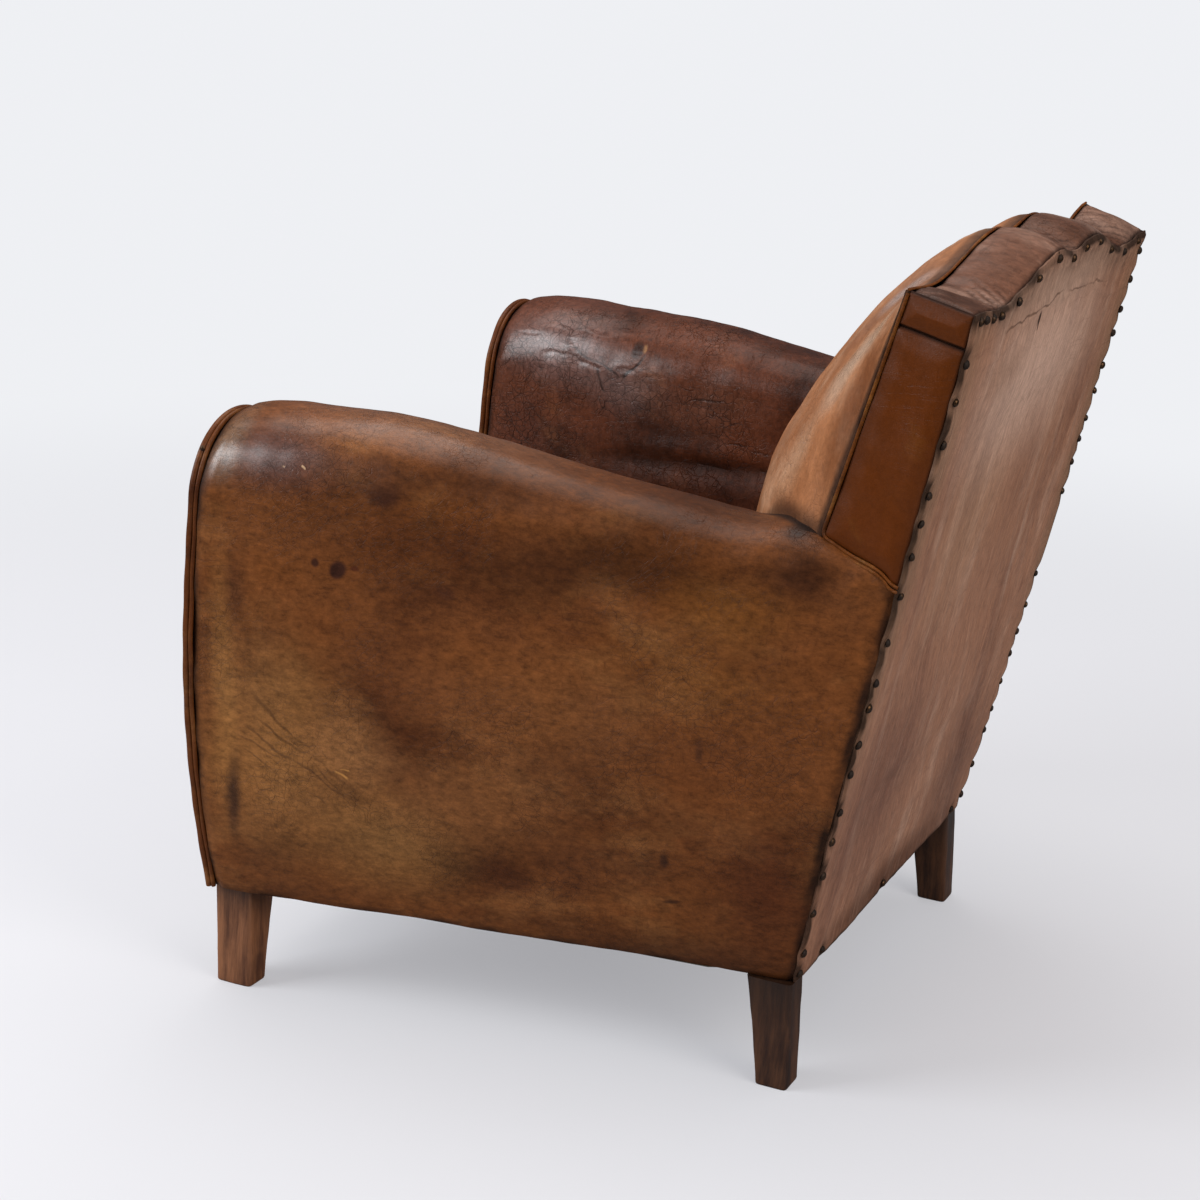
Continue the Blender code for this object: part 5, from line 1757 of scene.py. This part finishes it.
    def build_piping(self) -> None:
        """Piping down each edge's front seam, back along the arm's seam, and along the top's front seam."""
        for side in Side:
            low = float(FORM.seam_up(side, np.array(FORM.edge_low)))
            up = np.linspace(FORM.back_length - 0.003, low, 90)
            depth = FORM.edge_depth(up)
            down = FORM.back(FORM.edge_x(up, depth) + 0.0004, up, depth + 0.0004)
            forward = np.linspace(FORM.edge_low, 0.0035, 60)
            seam = FORM.seam_up(side, forward) + 0.0008
            along = FORM.back(FORM.edge_x(seam, forward) + 0.001, seam, forward)
            path = evened(np.concatenate([down, along[1:]]), self.piping_spacing, 3)
            second = evened(along, self.piping_spacing, 1) + np.array([0.0026, 0.0, -0.0036])
            radius = self.piping_radius
            bars = [
                (mirrored(path, side), SIDEWAYS, oval(radius, radius, 10)),
                (mirrored(second, side), SIDEWAYS, oval(radius * 0.9, radius * 0.8, 10)),
            ]
            make_cords(f"back_edge_piping_{side.word}", bars, Finish.PIPING)
        x = np.linspace(-1, 1, 260) * (FORM.edge_x(FORM.back_length, FORM.edge_top) - 0.002)
        crest = FORM.top(x) + FORM.ear(x, 1.0) + 0.0008
        top = FORM.back(x, crest, np.full(x.shape, FORM.edge_top + 0.0012))
        thin = self.piping_radius * 0.8
        bar = (evened(top, self.piping_spacing, 1), FORM.up_way, oval(thin, thin, 10))
        make_cords("back_top_piping", [bar], Finish.PIPING)

    def build(self) -> None:
        """Makes the back's pieces."""
        self.build_panel()
        self.build_nails()
        self.build_edges()
        self.build_top()
        self.build_inside()
        self.build_piping()


@dataclass
class Seat:
    """The seat: front border, loose cushion with its piping, and the cloth below."""

    voxel: float = 0.0055
    pressure: float = 4.0
    frames: int = 20
    most_swell: float = 0.022
    shrink: float = 0.01
    side_play: float = 0.002
    dish_depth: float = 0.01
    piping_radius: float = 0.0028
    piping_spacing: float = 0.006
    front_cut: float = 0.14
    rear_cut: float = 0.075
    sag: float = 0.004
    cloth: float = 0.0007

    def cushion_form(self) -> Array:
        """The slack cushion as a superellipsoid block: rings from its underside over its sides to its top.

        Returns:
            Points by ring and by place round the cushion.
        """
        front = FORM.front_y + 0.012 + self.shrink
        rear = FORM.plane_y(FORM.cushion_low, FORM.edge_low + FORM.crown + 0.012) - self.shrink
        turn = np.linspace(0, 2 * math.pi, 120, endpoint=False)
        square = 2 / 7.0
        across, along = signed_power(np.cos(turn), square), signed_power(np.sin(turn), square)
        low, high = FORM.cushion_low + 0.004, FORM.cushion_top - 0.006
        levels = [(0.04, low), (0.5, low), (0.93, low), (1.0, low + 0.008), (1.0, (low + high) / 2)]
        levels += [(1.0, high - 0.008), (0.93, high), (0.5, high), (0.04, high)]
        rings = []
        for share, z in levels:
            y = (front + rear) / 2 + share * along * (rear - front) / 2
            upright = FORM.upright_y(y, np.full(y.shape, FORM.cushion_low))
            half = FORM.inner_face(upright) - self.shrink - self.side_play
            rings.append(np.stack([share * across * half, y, np.full(y.shape, z)], axis=-1))
        return np.stack(rings)

    def inflate(self, piece: Thing) -> None:
        """Swells the cushion with cloth simulation, and limits how far any point may move.

        Args:
            piece: the slack cushion, which is changed.
        """
        bpy.context.view_layer.objects.active = piece
        remesh = piece.modifiers.new("even_mesh", "REMESH")
        remesh.mode = "VOXEL"
        remesh.voxel_size = self.voxel
        bpy.ops.object.modifier_apply(modifier=remesh.name)
        before = np.array([vert.co[:] for vert in piece.data.vertices])
        cloth = piece.modifiers.new("filling", "CLOTH")
        cloth.settings.use_pressure = True
        cloth.settings.uniform_pressure_force = self.pressure
        cloth.settings.effector_weights.gravity = 0
        cloth.settings.quality = 5
        for frame in range(1, self.frames + 1):
            bpy.context.scene.frame_set(frame)
        shown = piece.evaluated_get(bpy.context.evaluated_depsgraph_get())
        after = np.array([vert.co[:] for vert in shown.data.vertices])
        piece.modifiers.remove(cloth)
        bpy.context.scene.frame_set(1)
        move = after - before
        length = np.linalg.norm(move, axis=1)[:, None]
        held = before + move * np.minimum(1, self.most_swell / np.maximum(length, 1e-9))
        piece.data.vertices.foreach_set("co", held.ravel())

    def settle(self, points: Array) -> Array:
        """Sits the swollen cushion in its room: flat below, clear of arms and back, hollowed by use on top.

        Args:
            points: the cushion's points.
        Returns:
            The settled points.
        """
        held = points.copy()
        y = np.maximum(held[:, 1], FORM.front_y + 0.002)
        room = FORM.inner_face(FORM.upright_y(y, np.full(y.shape, FORM.cushion_low))) - 0.0012
        held[:, 0] = np.clip(held[:, 0], -room, room)
        rear = FORM.plane_y(FORM.cushion_low, FORM.edge_low + FORM.crown + 0.0075) - 0.002
        held[:, 1] = np.minimum(y, rear)
        high = FORM.cushion_top + 0.02
        top = held[:, 2] > (FORM.cushion_low + FORM.cushion_top) / 2
        dish = np.exp(-((held[:, 0] / 0.13) ** 2) - (((held[:, 1] + 0.17) / 0.13) ** 2))
        held[:, 2] -= top * self.dish_depth * dish
        held[:, 2] += top * (0.0012 * wobble(held, 0.12, 121) + 0.0006 * wobble(held, 0.045, 122))
        held[:, 2] = np.clip(held[:, 2], FORM.cushion_low + 0.0004, high)
        return held

    def build_cushion(self) -> None:
        """The loose cushion, and the piping round its upper and lower edges."""
        rings = self.cushion_form()
        piece = make_piece("seat_cushion_leather", rings, ring_faces(*rings.shape[:2]), Finish.SEAT)
        self.inflate(piece)
        points = self.settle(np.array([vert.co[:] for vert in piece.data.vertices]))
        piece.data.vertices.foreach_set("co", points.ravel())
        piece.data.update()
        rounder = piece.modifiers.new("rounder", "SUBSURF")
        rounder.levels = rounder.render_levels = 1
        piece.data.shade_smooth()
        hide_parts("seat_cushion")
        self.build_cushion_piping(points, rings)

    def build_cushion_piping(self, points: Array, rings: Array) -> None:
        """Piping that lies where the cushion's top and underside turn into its sides.

        Args:
            points: the settled cushion's points.
            rings: the slack cushion's rings, whose edges the piping follows.
        """
        bars = []
        for ring in (rings[2], rings[6]):
            path = evened(np.concatenate([ring, ring[:1]]), self.piping_spacing)
            away = np.linalg.norm(path[:, None] - points[None], axis=2)
            path = points[away.argmin(axis=1)]
            for _ in range(6):
                path = (np.roll(path, 1, axis=0) + 2 * path + np.roll(path, -1, axis=0)) / 4
            path = evened(path, self.piping_spacing)
            path[:, 2] += 0.0004
            bars.append((path[:-1], UPRIGHT, oval(self.piping_radius, self.piping_radius, 8)))
        make_cords("seat_cushion_piping", bars, Finish.PIPING)

    def build_border(self) -> None:
        """The leather below the cushion's front: a flat sheet that billows a little between its edges."""
        half = FORM.inner_face(FORM.cover_y) - 0.0006
        x = np.linspace(-half, half, 110)[None]
        z = np.linspace(FORM.skirt, FORM.cushion_low - 0.0006, 60)[:, None]
        x, z = np.broadcast_arrays(x, z)
        rear = np.full(x.shape, FORM.cover_y - 0.0006)
        flat = np.stack([x, rear, z], axis=-1)
        to_edge = np.minimum(np.minimum(z - FORM.skirt, FORM.cushion_low - z), half - np.abs(x))
        off = 0.003 + 0.003 * smooth(0.0, 0.06, to_edge) - 0.0012 * smooth(0.005, 0.0, to_edge)
        off = off + 0.0008 * wobble(flat, 0.12, 131) + 0.0004 * wobble(flat, 0.04, 132)
        outer = flat - off[..., None] * LENGTHWAYS
        piece = make_shell("seat_front_leather", outer, flat, Finish.SEAT)
        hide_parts("seat_front_border")

    def build_dust_cover(self) -> None:
        """The cloth under the seat: a flat eight-sided sheet that sags in its middle by a few millimetres."""
        low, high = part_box("seat_dust_cover")
        v = np.linspace(0, 1, 60)[:, None]
        u = np.linspace(-1, 1, 60)[None]
        y = low[1] + v * (high[1] - low[1])
        rear_half = float(FORM.side_half(0.2) - FORM.tuck_rear) - 0.012
        side = high[0] + (rear_half - high[0]) * v
        front_corner = high[0] - self.front_cut + (y - low[1])
        rear_corner = side - self.rear_cut + (high[1] - y)
        half = np.minimum(side, np.minimum(front_corner, rear_corner))
        x = u * half
        sag = self.sag * (1 - u ** 2) * (1 - (2 * v - 1) ** 2)
        top = np.stack([x, np.broadcast_to(y, x.shape), high[2] - 0.0002 - sag], axis=-1)
        piece = make_shell("seat_dust_cloth", top, top - self.cloth * UPRIGHT, Finish.DUST_CLOTH)
        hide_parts("seat_dust_cover")

    def build(self) -> None:
        """Makes the seat's pieces."""
        self.build_cushion()
        self.build_border()
        self.build_dust_cover()


@dataclass
class Legs:
    """Four square legs, tapered on their inner faces in a slight hollow curve, with rubbed edges."""

    front_top: tuple[float, float] = (0.053, 0.045)
    front_foot: tuple[float, float] = (0.032, 0.042)
    rear_top: tuple[float, float] = (0.037, 0.048)
    rear_foot: tuple[float, float] = (0.035, 0.034)
    rear_inset: float = 0.0045
    front_inset: float = 0.001
    height: float = 0.1117
    worn_edge: float = 0.0012
    sides: int = 40

    def build_leg(self, node: str, top: tuple[float, float], foot: tuple[float, float], side: Side) -> None:
        """One leg: rounded squares carried up it, their inner faces on a power curve.

        Args:
            node: the node it stands for.
            top: width across and depth along at the top.
            foot: the same at the foot.
            side: which side it stands on.
        """
        low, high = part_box(node)
        inset = self.rear_inset if "rear" in node else self.front_inset
        outer = max(abs(low[0]), abs(high[0]))
        rise = np.array([0.0, 0.006, 0.02, 0.05, 0.1, 0.2, 0.32, 0.45, 0.58, 0.7, 0.82, 0.92, 1.0])
        taper = rise ** 1.25
        across = foot[0] + (top[0] - foot[0]) * taper
        along = foot[1] + (top[1] - foot[1]) * taper
        ease = self.worn_edge * np.array([1.0, 0.4] + [0.0] * 11)
        profile = oval(1.0, 1.0, self.sides, 9.0)
        x = (outer - inset * rise - across / 2)[:, None] + (across / 2 - ease)[:, None] * profile[None, :, 0]
        y = (high[1] - inset * rise - along / 2)[:, None] + (along / 2 - ease)[:, None] * profile[None, :, 1]
        z = np.broadcast_to((rise * self.height)[:, None], x.shape)
        points = np.stack([x * side.value, y, z], axis=-1)
        points[..., :2] += (0.0004 * wobble(points, 0.03, 141))[..., None]
        name = node.replace("leg_", "wooden_leg_")
        finish = Finish.REAR_LEG if "rear" in node else Finish.FRONT_LEG
        piece = make_piece(name, points, ring_faces(*points.shape[:2]), finish)
        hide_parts(node)

    def build(self) -> None:
        """Makes the four legs."""
        for side in Side:
            self.build_leg(f"leg_front_{side.word}", self.front_top, self.front_foot, side)
            self.build_leg(f"leg_rear_{side.word}", self.rear_top, self.rear_foot, side)


@dataclass
class Innards:
    """The nodes that stay as they are, each with the finish of its kind."""

    finishes: dict[str, Finish] = field(
        default_factory=lambda: {
            "spring": Finish.WIRE,
            "stuffing": Finish.HAIR,
            "web": Finish.JUTE,
            "hessian": Finish.JUTE,
            "deck": Finish.SEAT,
            "rail": Finish.BEECH,
            "post": Finish.BEECH,
            "block": Finish.BEECH,
        }
    )

    def build(self, nodes: dict[str, Thing]) -> None:
        """Dresses every node whose name holds one of the words.

        Args:
            nodes: the frame's nodes by name.
        """
        for name, node in nodes.items():
            for word, finish in self.finishes.items():
                if word in name:
                    WARDROBE.dress(node, finish)
                    break


@dataclass(frozen=True)
class Lamp:
    """A square area lamp: its side, its watts and its colour."""

    name: str
    place: Point
    size: float
    power: float
    colour: Point


def stand(thing: Thing, place: Point, axes: Array) -> None:
    """Stands an object at a place, turned to three axes, and puts it in the scene."""
    thing.matrix_world = Matrix.Translation(place) @ Matrix(axes.tolist()).to_4x4()
    bpy.context.collection.objects.link(thing)


@dataclass(frozen=True)
class Studio:
    """The camera at the photograph's angle, soft lamps and a pale floor."""

    focal_px: float = 2495.7
    image_px: float = 1200.0
    sensor: float = 36.0
    azimuth: float = 113.556
    pitch: float = 16.779
    roll: float = -3.067
    place: Point = (2.4083, 0.9415, 1.168)
    aim: Point = (0.0, 0.0, 0.45)
    lamps: tuple[Lamp, ...] = (
        Lamp("window", (2.0, -2.6, 1.9), 1.8, 78.0, (0.94, 0.97, 1.0)),
        Lamp("room", (1.2, 3.2, 2.0), 2.4, 62.0, (1.0, 0.96, 0.9)),
        Lamp("overhead", (-0.4, -0.6, 3.2), 2.6, 50.0, (1.0, 0.98, 0.96)),
    )
    floor_half: float = 40.0
    floor_fade: tuple[float, float] = (1.0, 2.9)
    sky: tuple[float, ...] = (0.42, 0.42, 0.44, 1.0)
    sky_in_gloss: tuple[float, ...] = (0.1, 0.1, 0.11, 1.0)

    def build_camera(self) -> None:
        """Turns the three angles into the camera's axes, and makes it the scene's."""
        azimuth, pitch, roll = (math.radians(a) for a in (self.azimuth, self.pitch, self.roll))
        ahead = np.array([-math.sin(azimuth), math.cos(azimuth), 0.0]) * math.cos(pitch)
        ahead[2] = -math.sin(pitch)
        level = np.cross(ahead, UPRIGHT)
        level /= np.linalg.norm(level)
        down = np.cross(ahead, level)
        right = math.cos(roll) * level + math.sin(roll) * down
        below = -math.sin(roll) * level + math.cos(roll) * down
        data = bpy.data.cameras.new("camera")
        data.sensor_width = self.sensor
        data.lens = self.focal_px / self.image_px * self.sensor
        camera = bpy.data.objects.new("camera", data)
        stand(camera, self.place, np.stack([right, -below, -ahead], axis=1))
        bpy.context.scene.camera = camera

    def build_lamp(self, lamp: Lamp) -> None:
        """Makes one lamp, turned towards the chair's middle."""
        data = bpy.data.lights.new(lamp.name, "AREA")
        data.size = lamp.size
        data.energy = lamp.power
        data.color = lamp.colour
        away = np.array(lamp.place) - np.array(self.aim)
        away /= np.linalg.norm(away)
        right = np.cross(UPRIGHT, away)
        right /= np.linalg.norm(right)
        axes = np.stack([right, np.cross(away, right), away], axis=1)
        stand(bpy.data.objects.new(lamp.name, data), lamp.place, axes)

    def build_floor(self) -> None:
        """A wide plain floor that keeps the chair's shadow."""
        paint = Paint("pale_floor")
        rays = paint.node("ShaderNodeLightPath")
        far = paint.ramp(paint.measure("LENGTH", paint.coordinates), *self.floor_fade)
        pale = paint.blend(rays.outputs["Is Glossy Ray"], (0.43, 0.43, 0.44, 1.0), (0.22, 0.22, 0.23, 1.0))
        paint.put(paint.shader.inputs["Base Color"], paint.blend(far, pale, BLACK))
        paint.put(paint.shader.inputs["Roughness"], 0.6)
        paint.put(paint.shader.inputs["Specular IOR Level"], 0.0)
        glow = paint.blend(far, (0.35, 0.35, 0.37, 1.0), PALE)
        glow = paint.blend(rays.outputs["Is Camera Ray"], BLACK, glow)
        paint.put(paint.shader.inputs["Emission Color"], glow)
        paint.put(paint.shader.inputs["Emission Strength"], 1.0)
        signs = ((-1, -1), (1, -1), (1, 1), (-1, 1))
        corners = [(x * self.floor_half, y * self.floor_half, 0.0) for x, y in signs]
        mesh = bpy.data.meshes.new("floor")
        mesh.from_pydata(corners, [], [(0, 1, 2, 3)])
        floor = bpy.data.objects.new("floor", mesh)
        bpy.context.collection.objects.link(floor)
        mesh.materials.append(paint.material)

    def build_world(self) -> None:
        """An even pale sky, dimmer in glossy rays and brighter to the camera."""
        paint = Paint("studio", bpy.data.worlds.new("studio"))
        rays = paint.node("ShaderNodeLightPath")
        sky = paint.blend(rays.outputs["Is Glossy Ray"], self.sky, self.sky_in_gloss)
        sky = paint.blend(rays.outputs["Is Camera Ray"], sky, PALE)
        paint.put(paint.tree.nodes["Background"].inputs["Color"], sky)
        bpy.context.scene.world = paint.material

    def build(self) -> None:
        """Makes the camera, the lamps, the floor and the world."""
        self.build_camera()
        for lamp in self.lamps:
            self.build_lamp(lamp)
        self.build_floor()
        self.build_world()
        bpy.context.scene.view_settings.view_transform = "Standard"


def main() -> None:
    """Builds the chair's looks round its frame."""
    logging.basicConfig(level=logging.INFO, format="%(message)s")
    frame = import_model()
    Studio().build()
    for side in Side:
        Arm(side).build()
    Back().build()
    Seat().build()
    Legs().build()
    Innards().build(frame["nodes"])


if __name__ == "__main__":
    main()
